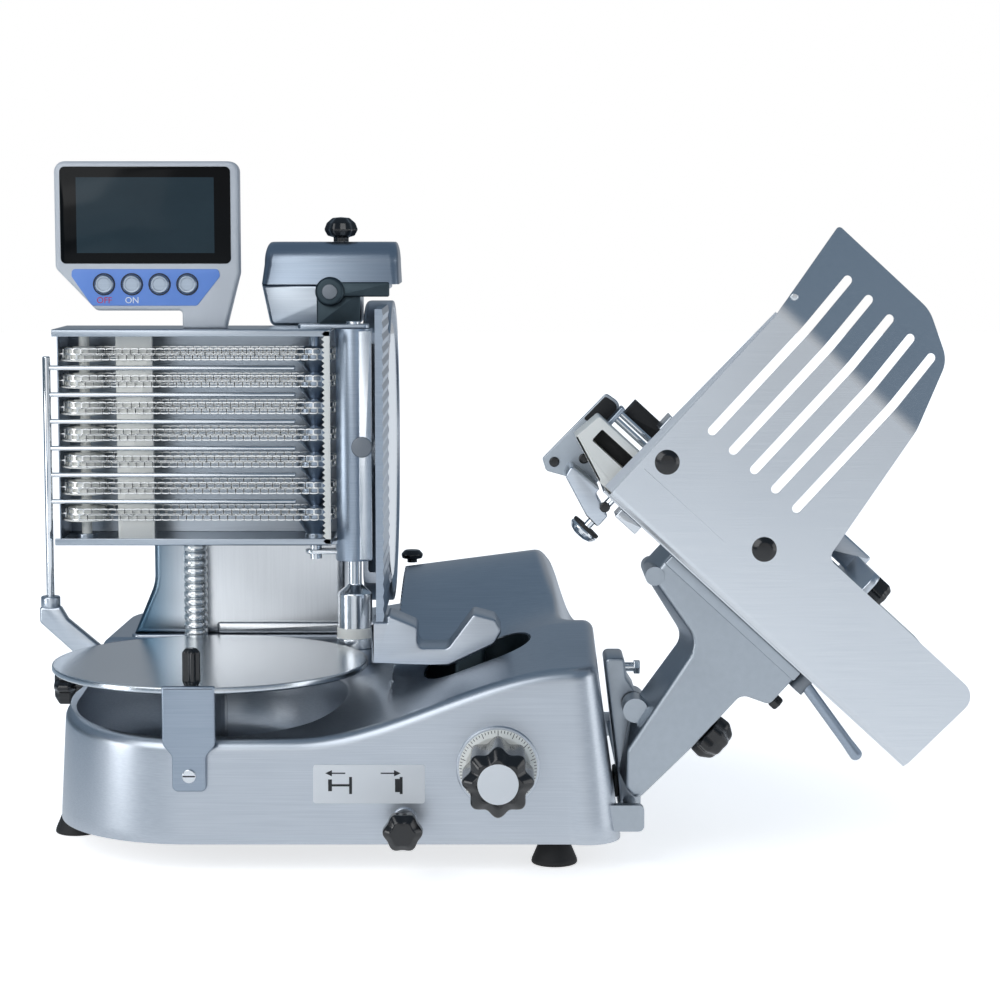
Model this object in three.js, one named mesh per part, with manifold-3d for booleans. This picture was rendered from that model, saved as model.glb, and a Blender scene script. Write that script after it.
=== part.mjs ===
// Automatic food slicer with chain conveyor, platter and tilting product carriage.
// Millimetres, +Z up, +X to the right, +Y to the back.
import * as THREE from "three";
import { mergeVertices } from "three/addons/utils/BufferGeometryUtils.js";
import loadSolids from "manifold-3d";

const solids = await loadSolids();
solids.setup();

// Driving dimensions
const GAP = 0.3;
const FOOT = { height: 30, topRadius: 15, soleRadius: 25 };

const PLATTER = {
  x: -320, y: 0, radius: 174, top: 197, thickness: 7.5, notchWidth: 50, notchDepth: 7,
  overhang: 9, sideOverhang: 11,
};
const BASE = {
  left: PLATTER.x - PLATTER.radius + PLATTER.sideOverhang, right: 104,
  front: PLATTER.y - PLATTER.radius + PLATTER.overhang, back: 420, backLeft: -462,
  wellCornerRadius: 150, frontRadius: 28, backRadius: 45, backLeftRadius: 60,
  draft: 6, sideDraft: 18, edgeRadius: 12, rimHeight: 140, shoulderHeight: 214,
  platformHeight: 190, crownRise: 14, backHeight: 180,
  wall: 9, tolerance: 0.45, points: 56, insidePoints: 20,
};
const FEET = {
  front_left: [BASE.left + 21, BASE.front + 179],
  front_right: [BASE.right - 46, BASE.front + 40],
  rear_left: [BASE.backLeft + 62, BASE.back - 48],
  rear_right: [BASE.right - 46, BASE.back - 44],
};
const HUMP = {
  left: -116, right: 88, crest: 52, front: 60, crestFront: 215, crestBack: 262, back: BASE.back - 12,
  top: 288, leftDrop: 22, backDrop: 20, low: 150,
};
const WELL = { radius: 151, floor: 72 };
const COVER = { thickness: 3, rim: 4 };
const PILLAR = { radius: 21 };
const CARRIAGE_MOTOR = { x: -15, y0: 40, y1: 200, radius: 40 };

const POST = { radius: 18 };
const BRACKET = { x: -325, thickness: 4, tongueWidth: 35, bottom: 95, shelf: 22 };
const GRIP = { x: -324, y: -154, radius: 10, height: 39 };

const TOWER = {
  left: -409, right: -184, front: 205, back: 340, top: 500, bottom: 193, flare: 25,
  pedestalX0: -268, pedestalX1: -192, pedestalY0: 225, pedestalY1: 315,
};
const CHAMBER = { x0: -400, x1: -250, y0: 217, z0: 228, z1: 470, ledge: 5, cover: 5.7 };
const BLADE = {
  x: -129, y: 275, z: 405, radius: 165, thickness: 4, bevel: 14,
  hubRadius: 38, hubLength: 17, shaftRadius: 15,
};
const PULLEY = { x0: -292, x1: -270, radius: 44, motorRadius: 24, motorZ: 268 };
const BELT = { thickness: 4, width: 16 };
const BLADE_MOTOR = { radius: 34, x1: -297 };
const GUARD_RING = { clearance: 5, rim: 10, x0: -160, x1: -121, web: 6, open: 170, bossRadius: 50 };

const CONDUIT = { x: -358, y: 188, radius: 14, rib: 1.6, bore: 10, ribs: 26, bossTop: 193 };

const CONVEYOR = { top: 558.7, headroom: 29.5, footroom: 32 };
const CHAIN = {
  rows: 7, pitch: 30.6, height: 13, thickness: 4, radius: 24, spike: 4, link: 9.6, linksPerSpike: 3,
};
CHAIN.low = CONVEYOR.top - CONVEYOR.headroom - (CHAIN.rows - 1) * CHAIN.pitch;
const FRAME = {
  x0: -505, x1: -191.5, y0: 85, y1: 195, z0: CHAIN.low - CONVEYOR.footroom, z1: CONVEYOR.top,
  sheet: 3, lip: 8, flangeX0: -201, flangeWidth: 10,
};
const SPINDLE = { drumX: -213, idlerX: -477, y: 140, radius: 6, flange: 27, flangeHeight: 1.6, bush: 12 };
const GUIDE = { x: -417, width: 42, thickness: 6 };
const COMB = {
  x: BASE.left - 33, y: 113, rodRadius: 4.5, prongRadius: 2.8, prongEnd: -233, top: FRAME.z1 - 31.7,
};
const ELBOW = {
  footX: BASE.left + 21, thickness: 14, collarTop: 252, collarRadius: 12, bossTop: 168, bossRadius: 9,
};
const COLUMN = {
  x: -168, y: SPINDLE.y, radius: 20, shaftRadius: 8, bossTop: 188,
  shoulder: FRAME.z0 - 61.6, top: FRAME.z1 + 7.3, tab: 4.5, tabWidth: 26,
};
const DEFLECTOR = { radius: 24, wall: 2, frontDepth: 14, lower: FRAME.z0 - 22.6, upper: FRAME.z1 - 17.7 };

const DISPLAY = {
  front: 108, depth: 28, left: -503, right: -295, top: FRAME.z1 + 188.3, glass: 3, pocket: 2.5,
  neckLeft: -360, neckRight: -311, chin: FRAME.z1 + 20.3, paneLow: FRAME.z1 + 73.3, keysHigh: FRAME.z1 + 67.3,
};
const BUTTON = { radius: 10.7, count: 4, x: -447.9, pitch: 31.4, z: FRAME.z1 + 50.1, proud: 3.5, travel: 2 };

const RING_TOP = BLADE.z + BLADE.radius + GUARD_RING.clearance + GUARD_RING.rim;
const SHARPENER = {
  x0: -278, x1: -164, y0: 200, y1: 300, z0: Math.max(RING_TOP - 27.3, FRAME.z1 - 1),
  lowerHeight: 48.3, coverHeight: 49, reach: -118,
};
SHARPENER.split = SHARPENER.z0 + SHARPENER.lowerHeight;
SHARPENER.top = SHARPENER.split + SHARPENER.coverHeight;
const SHARPENER_KNOB = { x: -188, y: 250, radius: 20, height: 28 };

const GAUGE = { x: -126, thickness: 9, front: -40, back: 112, z0: 246, z1: 586, ribs: 25, rib: 1.4 };
const SLOT = { x0: -84, x1: 34, y: -12, width: 64, floor: 148 };
const STEM = { x: -33, width: 34, depth: 28 };
const DIAL = { x: -2, z: 112, radius: 41, thickness: 6, seat: BASE.front - 6 };
const KNOB = { radius: 37, length: 74, lobes: 8 };
const MODE_KNOB = {
  x: -100, z: 57, radius: 21, length: 24, stem: 8, reach: 65, seat: BASE.front - 8, inside: 10, travel: 30,
};
const SIDE_KNOB = { y: 150, z: 142, radius: 24, length: 24, lobes: 6, seat: BASE.left - 1 };

const ROD = { x: 140, z: 55, radius: 7, y0: -158, y1: 360, lug: 12, lugHeight: 28 };
const SLIDE = { y0: -76, y1: -10, top: 212 };
const HINGE = { x: 144, z: 163, pin: 6, boss: 13, tiltDeg: 42.5 };
const ARM = { y0: -140, y1: -80, top: 149.7 };
const TRAY = { u0: -187, u1: 244, floor: 153, sheet: 3, y0: -149.7, y1: 60, wall: 257 };
const PLATE = { sheet: 3, y: -150, foldV: 417, foldDeg: 25, top: 521 };
const SLATS = { count: 5, u: -147, pitch: 30, width: 10, v0: 269, v1: 489 };
const HOLDER = { u0: -246, u1: -192, v1: 236, y0: -132, y1: -72, teeth: 9, tooth: 3, shoe: 55 };
const PULL_KNOB = { u: -168, y: -110, radius: 18, stem: 5, head: 24, drop: 14 };
const PUSHER = { u: 84, wall: 8, y0: -138, y1: 50, top: 280 };
const LEVER = { u: 106, y: -120, rod: 4, length: 104, ball: 9, hub: 9 };
const ARM_KNOB = { u: 68.3, v: 33, y: -110, radius: 20, length: 30, lobes: 6 };

// Finishes
function finish(color, roughness, metalness) {
  return new THREE.MeshStandardMaterial({ color, roughness, metalness });
}
const CAST = finish(0xb4b9bf, 0.42, 0.7);
const STEEL = finish(0xc8cacc, 0.25, 0.9);
const DARK = finish(0x6f747a, 0.5, 0.6);
const BLACK = finish(0x141414, 0.35, 0);
const RUBBER = finish(0x1c1c1c, 0.8, 0);
const CREAM = finish(0xe9e6da, 0.55, 0);
const BLUE = finish(0x3f66b8, 0.5, 0);
const GLASS = finish(0x0b1518, 0.1, 0);
const CHROME = finish(0xdfe2e4, 0.12, 1);

// Solid helpers
function solidOf(geometry) {
  const bare = new THREE.BufferGeometry();
  bare.setAttribute("position", geometry.getAttribute("position").clone());
  bare.setIndex(geometry.index);
  const welded = mergeVertices(bare, 1e-4);
  const order = welded.index.array;
  const triangles = [];
  for (let i = 0; i < order.length; i += 3) {
    const [a, b, c] = [order[i], order[i + 1], order[i + 2]];
    if (a !== b && b !== c && c !== a) triangles.push(a, b, c);
  }
  const vertProperties = new Float32Array(welded.getAttribute("position").array);
  const made = (list) => {
    const mesh = new solids.Mesh({ numProp: 3, vertProperties, triVerts: new Uint32Array(list) });
    return new solids.Manifold(mesh);
  };
  const first = made(triangles);
  return first.volume() > 0 ? first : made(triangles.reverse());
}

function geometryOf(solid, tolerance = 0) {
  const mesh = (tolerance > 0 ? solid.simplify(tolerance) : solid).getMesh();
  const geometry = new THREE.BufferGeometry();
  geometry.setAttribute("position", new THREE.BufferAttribute(new Float32Array(mesh.vertProperties), 3));
  geometry.setIndex(new THREE.BufferAttribute(new Uint32Array(mesh.triVerts), 1));
  geometry.computeVertexNormals();
  return geometry;
}

function joined(...pieces) {
  return geometryOf(pieces.map(solidOf).reduce((sum, piece) => sum.add(piece)));
}

function cut(body, ...tools) {
  return geometryOf(tools.map(solidOf).reduce((rest, tool) => rest.subtract(tool), solidOf(body)));
}

function common(body, tool) {
  return geometryOf(solidOf(body).intersect(solidOf(tool)));
}

// Outline and placing helpers
function outline(corners) {
  const shape = new THREE.Shape();
  const count = corners.length;
  corners.forEach(([x, y, radius = 0], i) => {
    const here = new THREE.Vector2(x, y);
    if (radius === 0) {
      if (i === 0) shape.moveTo(x, y);
      else shape.lineTo(x, y);
      return;
    }
    const before = corners[(i + count - 1) % count];
    const after = corners[(i + 1) % count];
    const a = new THREE.Vector2(before[0], before[1]).sub(here).normalize();
    const b = new THREE.Vector2(after[0], after[1]).sub(here).normalize();
    const half = Math.acos(a.dot(b)) / 2;
    const start = here.clone().addScaledVector(a, radius / Math.tan(half));
    const end = here.clone().addScaledVector(b, radius / Math.tan(half));
    const centre = here.clone().addScaledVector(a.clone().add(b).normalize(), radius / Math.sin(half));
    if (i === 0) shape.moveTo(start.x, start.y);
    else shape.lineTo(start.x, start.y);
    const from = start.clone().sub(centre).angle();
    const to = end.clone().sub(centre).angle();
    shape.absarc(centre.x, centre.y, radius, from, to, a.cross(b) > 0);
  });
  shape.closePath();
  return shape;
}

function rectangle(x0, y0, x1, y1, radius = 0) {
  return outline([[x0, y0, radius], [x1, y0, radius], [x1, y1, radius], [x0, y1, radius]]);
}

function lobed(radius, lobes, depth) {
  const points = [];
  for (let i = 0; i < lobes * 4; i++) {
    const angle = (2 * Math.PI * i) / (lobes * 4);
    const reach = radius - (depth / 2) * (1 - Math.cos(lobes * angle));
    points.push(new THREE.Vector2(reach * Math.cos(angle), reach * Math.sin(angle)));
  }
  return new THREE.Shape(points);
}

const AXIS_X = new THREE.Vector3(1, 0, 0);
const AXIS_Y = new THREE.Vector3(0, 1, 0);
const AXIS_Z = new THREE.Vector3(0, 0, 1);

function extruded(shape, depth, curveSegments) {
  return new THREE.ExtrudeGeometry(shape, { depth, curveSegments, bevelEnabled: false });
}

// Outline seen from the front (x right, z up), from yFront back by depth
function frontPlate(shape, yFront, depth, curveSegments = 4) {
  const turn = new THREE.Matrix4().makeBasis(AXIS_X, AXIS_Z, AXIS_Y.clone().negate());
  return extruded(shape, depth, curveSegments).applyMatrix4(turn).translate(0, yFront + depth, 0);
}

// Outline in y and z, from x0 to the right by depth
function sidePlate(shape, x0, depth, curveSegments = 4) {
  const turn = new THREE.Matrix4().makeBasis(AXIS_Y, AXIS_Z, AXIS_X);
  return extruded(shape, depth, curveSegments).applyMatrix4(turn).translate(x0, 0, 0);
}

// Outline seen from above, from z0 up by depth
function levelPlate(shape, z0, depth, curveSegments = 6) {
  return extruded(shape, depth, curveSegments).translate(0, 0, z0);
}

function box(x0, x1, y0, y1, z0, z1) {
  const geometry = new THREE.BoxGeometry(x1 - x0, y1 - y0, z1 - z0);
  return geometry.translate((x0 + x1) / 2, (y0 + y1) / 2, (z0 + z1) / 2);
}

// Revolved profile of [radius, along] pairs, along x, y or z
function turned(profile, axis, at, segments = 18) {
  const points = profile.map(([radius, along]) => new THREE.Vector2(radius, along));
  const geometry = new THREE.LatheGeometry(points, segments);
  if (axis === "z") geometry.rotateX(Math.PI / 2);
  if (axis === "x") geometry.rotateZ(-Math.PI / 2);
  return geometryOf(solidOf(geometry.translate(...at)));
}

function drum(radius, from, to, axis, at, segments = 18) {
  return turned([[0, from], [radius, from], [radius, to], [0, to]], axis, at, segments);
}

const slicer = new THREE.Group();

function add(name, geometry, material, parent = slicer) {
  const mesh = new THREE.Mesh(geometry, material);
  mesh.name = name;
  parent.add(mesh);
  return mesh;
}

// Base casting
function blend(low, high, value) {
  return THREE.MathUtils.smoothstep(value, low, high);
}

function baseTop(x, y) {
  const { clamp, lerp } = THREE.MathUtils;
  const climb = clamp((y - BASE.front) / 300, 0, 1);
  const rim = BASE.rimHeight + 28 * Math.min(climb, 0.75);
  const left = lerp(rim, BASE.platformHeight, blend(165, 198, y));
  const right = BASE.shoulderHeight + 16 * climb;
  const across = blend(-215, 80, x);
  const crown = BASE.crownRise * across ** 3 * clamp((y - BASE.front) / 175, 0, 1);
  const plain = lerp(left, right, across) + crown;
  return lerp(plain, BASE.backHeight, blend(20, 130, y) * blend(60, 86, x));
}

// Rear hump, or its hollow when a wall is given: a side profile kept inside a front outline
function hump(wall) {
  const { left, right, crest, front, crestFront, crestBack, back, top, leftDrop, backDrop, low } = HUMP;
  const foot = BASE.shoulderHeight;
  const under = low - wall;
  const drop = wall * 1.1;
  const side = sidePlate(outline([
    [front, under], [back - wall, under], [back - wall, top - backDrop - drop, 18],
    [crestBack, top - drop, 90], [crestFront, top - drop, 60], [front, foot - drop],
  ]), left - 1, right - left + 2, 3);
  const face = frontPlate(outline([
    [left + wall, under], [right - wall, under], [right - wall, BASE.backHeight - drop, 20],
    [crest - wall, top - drop, 22], [left + wall, top - leftDrop - drop, 10],
  ]), front - 1, back - front + 2, 2);
  return common(side, face);
}

function baseOutline(count) {
  const shape = outline([
    [BASE.left, BASE.front, BASE.wellCornerRadius],
    [BASE.right, BASE.front, BASE.frontRadius],
    [BASE.right, BASE.back, BASE.backRadius],
    [BASE.backLeft, BASE.back, BASE.backLeftRadius],
  ]);
  const points = shape.getSpacedPoints(count).slice(0, count);
  return points.map((point, i) => {
    const before = points[(i + count - 1) % count];
    const after = points[(i + 1) % count];
    const along = after.clone().sub(before).normalize();
    return { point, outward: new THREE.Vector2(along.y, -along.x) };
  });
}

// Outline of the drafted underside, moved inward by a margin
function underside(edge, margin) {
  return edge.map(({ point, outward }) => {
    const spread = BASE.draft + BASE.sideDraft * Math.max(0, outward.x);
    return point.clone().addScaledVector(outward, spread - margin);
  });
}

// Lowest height of the casting's top within a reach of a place
function lowestTop(x, y, reach) {
  const around = [[-reach, 0], [reach, 0], [0, -reach], [0, reach]];
  return Math.min(...around.map(([dx, dy]) => baseTop(x + dx, y + dy)));
}

// Top of the casting, or of its hollow when a wall is given
function roof(x, y, wall) {
  return lowestTop(x, y, wall) - wall;
}

// Closed skin of the casting, or of the hollow that lies one wall inside it
function baseSkin(wall, count, angles, steps) {
  const edge = baseOutline(count);
  const centre = new THREE.Vector2((BASE.left + BASE.right) / 2, (BASE.front + BASE.back) / 2);
  const round = BASE.edgeRadius;
  const floor = FOOT.height - wall;
  const rings = [underside(edge, wall).map((foot) => [foot.x, foot.y, floor])];
  for (const angle of angles) {
    const inset = round * (1 - Math.cos((angle * Math.PI) / 180)) + wall;
    const drop = round * (1 - Math.sin((angle * Math.PI) / 180));
    rings.push(edge.map(({ point, outward }) => {
      const place = point.clone().addScaledVector(outward, -inset);
      return [place.x, place.y, roof(place.x, place.y, wall) - drop];
    }));
  }
  for (let step = 1; step < steps; step++) {
    rings.push(edge.map(({ point, outward }) => {
      const place = point.clone().addScaledVector(outward, -round - wall).lerp(centre, step / steps);
      return [place.x, place.y, roof(place.x, place.y, wall)];
    }));
  }
  const positions = rings.flat(2);
  const triangles = [];
  for (let ring = 0; ring + 1 < rings.length; ring++) {
    for (let i = 0; i < count; i++) {
      const next = (i + 1) % count;
      const [a, b] = [ring * count + i, ring * count + next];
      triangles.push(a, b, b + count, a, b + count, a + count);
    }
  }
  const under = positions.length / 3;
  positions.push(centre.x, centre.y, floor);
  positions.push(centre.x, centre.y, roof(centre.x, centre.y, wall));
  const top = (rings.length - 1) * count;
  for (let i = 0; i < count; i++) {
    const next = (i + 1) % count;
    triangles.push(under, next, i);
    triangles.push(under + 1, top + i, top + next);
  }
  const geometry = new THREE.BufferGeometry();
  geometry.setAttribute("position", new THREE.Float32BufferAttribute(positions, 3));
  geometry.setIndex(triangles);
  return geometry;
}

// End block of the guide rod, seated on the drafted side of the casting
function rodLug(y) {
  const { x, z, lugHeight, lug } = ROD;
  const half = lugHeight / 2;
  const block = outline([
    [BASE.right, z - half], [x + 12, z - half, 6], [x + 12, z + half, 6], [BASE.right, z + half],
  ]);
  const skin = baseSkin(0, BASE.points, [0, 90], 2).translate(GAP, 0, 0);
  return cut(frontPlate(block, y, lug), skin);
}

function slotShape(margin) {
  const half = SLOT.width / 2 + margin;
  return rectangle(SLOT.x0 - margin, SLOT.y - half, SLOT.x1 + margin, SLOT.y + half, half - 1);
}

function makeBase() {
  const well = turned([
    [0, WELL.floor], [WELL.radius - 33, WELL.floor], [WELL.radius - 13, WELL.floor + 8],
    [WELL.radius - 2, WELL.floor + 26], [WELL.radius, WELL.floor + 58], [WELL.radius, 300], [0, 300],
  ], "z", [PLATTER.x, PLATTER.y, 0], 36);
  const { wall } = BASE;
  const hollow = cut(baseSkin(wall, BASE.insidePoints, [0, 90], 4),
    drum(WELL.radius + wall, WELL.floor - wall, 400, "z", [PLATTER.x, PLATTER.y, 0], 24),
    levelPlate(slotShape(wall), SLOT.floor - wall, 400, 3));
  const skin = cut(baseSkin(0, BASE.points, [0, 30, 60, 90], 7), hollow);
  const shell = cut(joined(skin, hump(0)), hump(wall));
  const pillar = ([x, y], radius) => drum(
    radius, FOOT.height, lowestTop(x, y, PILLAR.radius) - 6, "z", [x, y, 0], 10);
  const pillars = Object.values(FEET).map((place) => pillar(place, PILLAR.radius));
  const padFloor = TOWER.bottom - 25;
  const bossFloor = 150;
  const pads = [
    levelPlate(rectangle(TOWER.left - TOWER.flare - 3, TOWER.front - 5, TOWER.right + 3, TOWER.back, 8),
      padFloor, TOWER.bottom - GAP - padFloor, 3),
    drum(DIAL.radius + 3, 0, 20, "y", [DIAL.x, DIAL.seat + GAP, DIAL.z], 24),
    drum(COLUMN.radius + 3, bossFloor, COLUMN.bossTop, "z", [COLUMN.x, COLUMN.y, 0]),
    drum(CONDUIT.radius + 2.5, bossFloor, CONDUIT.bossTop, "z", [CONDUIT.x, CONDUIT.y, 0]),
    drum(ELBOW.bossRadius, 120, ELBOW.bossTop, "z", [ELBOW.footX, COMB.y, 0], 20),
    drum(MODE_KNOB.stem + 5, 0, 20, "y", [MODE_KNOB.x, MODE_KNOB.seat, MODE_KNOB.z]),
    drum(SIDE_KNOB.radius - 8, 0, 40, "x", [SIDE_KNOB.seat, SIDE_KNOB.y, SIDE_KNOB.z], 20),
    frontPlate(rectangle(BRACKET.x - 14, 92, BRACKET.x + 14, 118), bracketBack(), 20),
  ];
  const edge = baseOutline(BASE.points);
  const lidShape = (margin) => new THREE.Shape(underside(edge, margin));
  const rebate = cut(
    levelPlate(lidShape(COVER.rim), 0, FOOT.height + COVER.thickness + GAP), ...pillars);
  const tools = [
    well,
    levelPlate(slotShape(0), SLOT.floor, 200, 4),
    rebate,
    drum(MODE_KNOB.stem + GAP, -1, MODE_KNOB.inside + MODE_KNOB.travel + 2, "y",
      [MODE_KNOB.x, MODE_KNOB.seat, MODE_KNOB.z]),
  ];
  const casting = cut(joined(shell, ...pillars, ...pads), ...tools);
  add("base_housing", geometryOf(solidOf(casting), BASE.tolerance), CAST);
  const lid = levelPlate(lidShape(COVER.rim + GAP), FOOT.height, COVER.thickness);
  const room = PILLAR.radius + GAP;
  const passages = Object.values(FEET).map((place) => pillar(place, room).translate(0, 0, -10));
  add("bottom_cover", geometryOf(solidOf(cut(lid, ...passages)), BASE.tolerance), DARK);
  const motorZ = FOOT.height + COVER.thickness + GAP + CARRIAGE_MOTOR.radius;
  const motor = turned([
    [0, CARRIAGE_MOTOR.y0], [12, CARRIAGE_MOTOR.y0], [12, CARRIAGE_MOTOR.y0 + 24],
    [CARRIAGE_MOTOR.radius, CARRIAGE_MOTOR.y0 + 24], [CARRIAGE_MOTOR.radius, CARRIAGE_MOTOR.y1],
    [0, CARRIAGE_MOTOR.y1],
  ], "y", [CARRIAGE_MOTOR.x, 0, motorZ]);
  add("carriage_motor", motor, DARK);
  const foot = [
    [0, 0], [FOOT.soleRadius, 0], [FOOT.soleRadius, 7], [FOOT.topRadius + 2, 14],
    [FOOT.topRadius, FOOT.height - GAP], [0, FOOT.height - GAP],
  ];
  for (const [corner, [x, y]] of Object.entries(FEET)) {
    add(`foot_${corner}`, turned(foot, "z", [x, y, 0]), RUBBER);
  }
  const rod = drum(ROD.radius, ROD.y0 + 1, ROD.y1 - 1, "y", [ROD.x, 0, ROD.z]);
  add("guide_rod", joined(rod, rodLug(ROD.y0), rodLug(ROD.y1 - ROD.lug)), CHROME);
}

// Slice platter with its bracket
function bracketBack() {
  return PLATTER.y - PLATTER.radius + PLATTER.notchDepth - 2.5;
}

function makePlatter() {
  const { x, y, radius, top, thickness, notchWidth, notchDepth } = PLATTER;
  const under = top - thickness;
  const disc = turned([
    [0, under], [radius - 4, under], [radius, under + 2.5], [radius, top - 1.5],
    [radius - 1.5, top], [0, top],
  ], "z", [x, y, 0], 48);
  const edge = y - radius;
  const half = notchWidth / 2;
  const notch = rectangle(BRACKET.x - half, edge - 10, BRACKET.x + half, edge + notchDepth);
  add("slice_platter", cut(disc, levelPlate(notch, under - 1, thickness + 2)), STEEL);
  add("platter_post", drum(POST.radius, WELL.floor + GAP, under - GAP, "z", [x, y, 0]), STEEL);
  const wide = notchWidth / 2 - 1;
  const narrow = BRACKET.tongueWidth / 2;
  const plate = outline([
    [BRACKET.x - narrow, BRACKET.bottom, 4], [BRACKET.x + narrow, BRACKET.bottom, 4],
    [BRACKET.x + narrow, 148, 8], [BRACKET.x + wide, 160, 8], [BRACKET.x + wide, top + 2, 2],
    [BRACKET.x - wide, top + 2, 2], [BRACKET.x - wide, 160, 8], [BRACKET.x - narrow, 148, 8],
  ]);
  const back = bracketBack() - GAP;
  const front = frontPlate(plate, back - BRACKET.thickness, BRACKET.thickness, 3);
  const seat = under - GAP;
  const shelf = box(BRACKET.x - 18, BRACKET.x + 18, back - 1, back + BRACKET.shelf, seat - 3, seat);
  add("platter_bracket", joined(front, shelf), STEEL);
  const grip = extruded(lobed(GRIP.radius, 5, 3), GRIP.height, 4).translate(GRIP.x, GRIP.y, top + GAP);
  add("platter_grip", grip, BLACK);
}

// Blade tower with motor and belt
function makeTower() {
  const { left, right, front, back, top, bottom, flare } = TOWER;
  const shape = outline([
    [left - flare, bottom], [right, bottom], [right, top, 12], [left, top, 12], [left, bottom + 60, 50],
  ]);
  const depth = back - front;
  const pedestal = box(TOWER.pedestalX0, TOWER.pedestalX1, TOWER.pedestalY0, TOWER.pedestalY1,
    top - 20, SHARPENER.z0 - GAP);
  const lip = box(-335, right - 4, front - 5, front + 5, bottom + 1, bottom + 15);
  const { x0, x1, y0, z0, z1, ledge, cover } = CHAMBER;
  const hollow = box(x0, x1, y0, back + 1, z0, z1);
  const step = back - cover - GAP;
  const recess = box(x0 - ledge, x1 + ledge, step, back + 1, z0 - ledge, z1 + ledge);
  const bore = drum(BLADE.shaftRadius + GAP, x1 - 1, right + 1, "x", [0, BLADE.y, BLADE.z]);
  const body = joined(frontPlate(shape, front, depth), pedestal, lip);
  add("blade_tower", cut(body, hollow, recess, bore), CAST);
  const inset = ledge - GAP;
  const lid = rectangle(x0 - inset, z0 - inset, x1 + inset, z1 + inset);
  add("tower_rear_cover", frontPlate(lid, back - cover, cover), DARK);

  const motorEnd = CHAMBER.x0 + GAP;
  const motor = turned([
    [0, motorEnd], [BLADE_MOTOR.radius, motorEnd], [BLADE_MOTOR.radius, BLADE_MOTOR.x1], [10, BLADE_MOTOR.x1],
    [10, PULLEY.x0], [PULLEY.motorRadius, PULLEY.x0], [PULLEY.motorRadius, PULLEY.x1], [0, PULLEY.x1],
  ], "x", [0, BLADE.y, PULLEY.motorZ]);
  add("blade_motor", motor, DARK);
  add("drive_belt", makeBelt(), RUBBER);
}

function beltLoop(offset) {
  const span = BLADE.z - PULLEY.motorZ;
  const big = PULLEY.radius + offset;
  const small = PULLEY.motorRadius + offset;
  const lean = Math.asin((big - small) / span);
  const shape = new THREE.Shape();
  shape.absarc(BLADE.y, BLADE.z, big, -lean, Math.PI + lean, false);
  shape.absarc(BLADE.y, PULLEY.motorZ, small, Math.PI + lean, 2 * Math.PI - lean, false);
  shape.closePath();
  return shape;
}

function makeBelt() {
  const shape = beltLoop(2 * GAP + BELT.thickness);
  shape.holes.push(beltLoop(2 * GAP));
  return sidePlate(shape, (PULLEY.x0 + PULLEY.x1 - BELT.width) / 2, BELT.width, 8);
}

// Blade, shaft and ring guard
function makeBlade() {
  const { x, y, z, radius, thickness, bevel, hubRadius, hubLength, shaftRadius } = BLADE;
  const left = x - thickness;
  const disc = turned([
    [0, left], [radius, left], [radius, left + 0.6], [radius - bevel, x], [0, x],
  ], "x", [0, y, z], 48);
  add("blade", disc, CHROME);
  const hubEnd = left - GAP;
  const shaft = turned([
    [0, PULLEY.x0], [PULLEY.radius, PULLEY.x0], [PULLEY.radius, PULLEY.x1], [shaftRadius, PULLEY.x1],
    [shaftRadius, hubEnd - hubLength], [hubRadius, hubEnd - hubLength], [hubRadius, hubEnd], [0, hubEnd],
  ], "x", [0, y, z], 16);
  add("blade_shaft", shaft, STEEL);
  const ring = GUARD_RING;
  const inner = radius + ring.clearance;
  const outer = inner + ring.rim;
  const bore = hubRadius + 4;
  const boss = TOWER.right + GAP;
  const pan = turned([
    [shaftRadius + 3, boss], [ring.bossRadius, boss], [ring.bossRadius, ring.x0], [outer, ring.x0],
    [outer, ring.x1], [inner, ring.x1], [inner, ring.x0 + ring.web], [bore, ring.x0 + ring.web],
    [bore, hubEnd - hubLength - 4], [shaftRadius + 3, hubEnd - hubLength - 4], [shaftRadius + 3, boss],
  ], "x", [0, y, z], 28);
  const mouth = box(boss - 1, ring.x1 + 1, y - radius - 40, ring.open, z - radius - 40, z + radius + 40);
  add("ring_guard", cut(pan, mouth), CAST);
}

// Ribbed metal conduit with its bore
function makeConduit() {
  const { x, y, radius, rib, bore, ribs, bossTop } = CONDUIT;
  const low = bossTop + GAP;
  const pitch = (FRAME.z0 - GAP - low) / ribs;
  const profile = [[bore, low]];
  for (let i = 0; i < ribs; i++) {
    profile.push([radius - rib, low + i * pitch], [radius, low + (i + 0.5) * pitch]);
  }
  profile.push([radius - rib, low + ribs * pitch], [bore, low + ribs * pitch], [bore, low]);
  add("cable_conduit", turned(profile, "z", [x, y, 0], 8), STEEL);
}

// Chain conveyor
function chainHeight(row) {
  return CHAIN.low + row * CHAIN.pitch;
}

function chainLoop(offset) {
  const { drumX, idlerX, y } = SPINDLE;
  const shape = new THREE.Shape();
  shape.absarc(drumX, y, offset, -Math.PI / 2, Math.PI / 2, false);
  shape.absarc(idlerX, y, offset, Math.PI / 2, 1.5 * Math.PI, false);
  shape.closePath();
  return shape;
}

// Spiked outer edge: each link is a flat plate and a short spike
function chainEdge() {
  const line = chainLoop(CHAIN.radius + CHAIN.thickness / 2);
  const reach = chainLoop(CHAIN.radius + CHAIN.thickness / 2 + CHAIN.spike);
  const links = Math.round(line.getLength() / (CHAIN.linksPerSpike * CHAIN.link));
  const points = [];
  for (let i = 0; i < links; i++) {
    points.push(line.getPointAt(i / links), line.getPointAt((i + 0.66) / links));
    points.push(reach.getPointAt((i + 0.83) / links));
  }
  return new THREE.Shape(points);
}

function makeChains() {
  for (let row = 0; row < CHAIN.rows; row++) {
    const shape = chainEdge();
    shape.holes.push(chainLoop(CHAIN.radius - CHAIN.thickness / 2));
    const chain = levelPlate(shape, chainHeight(row) - CHAIN.height / 2, CHAIN.height, 7);
    add(`chain_${row + 1}`, chain, STEEL);
  }
}

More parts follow.
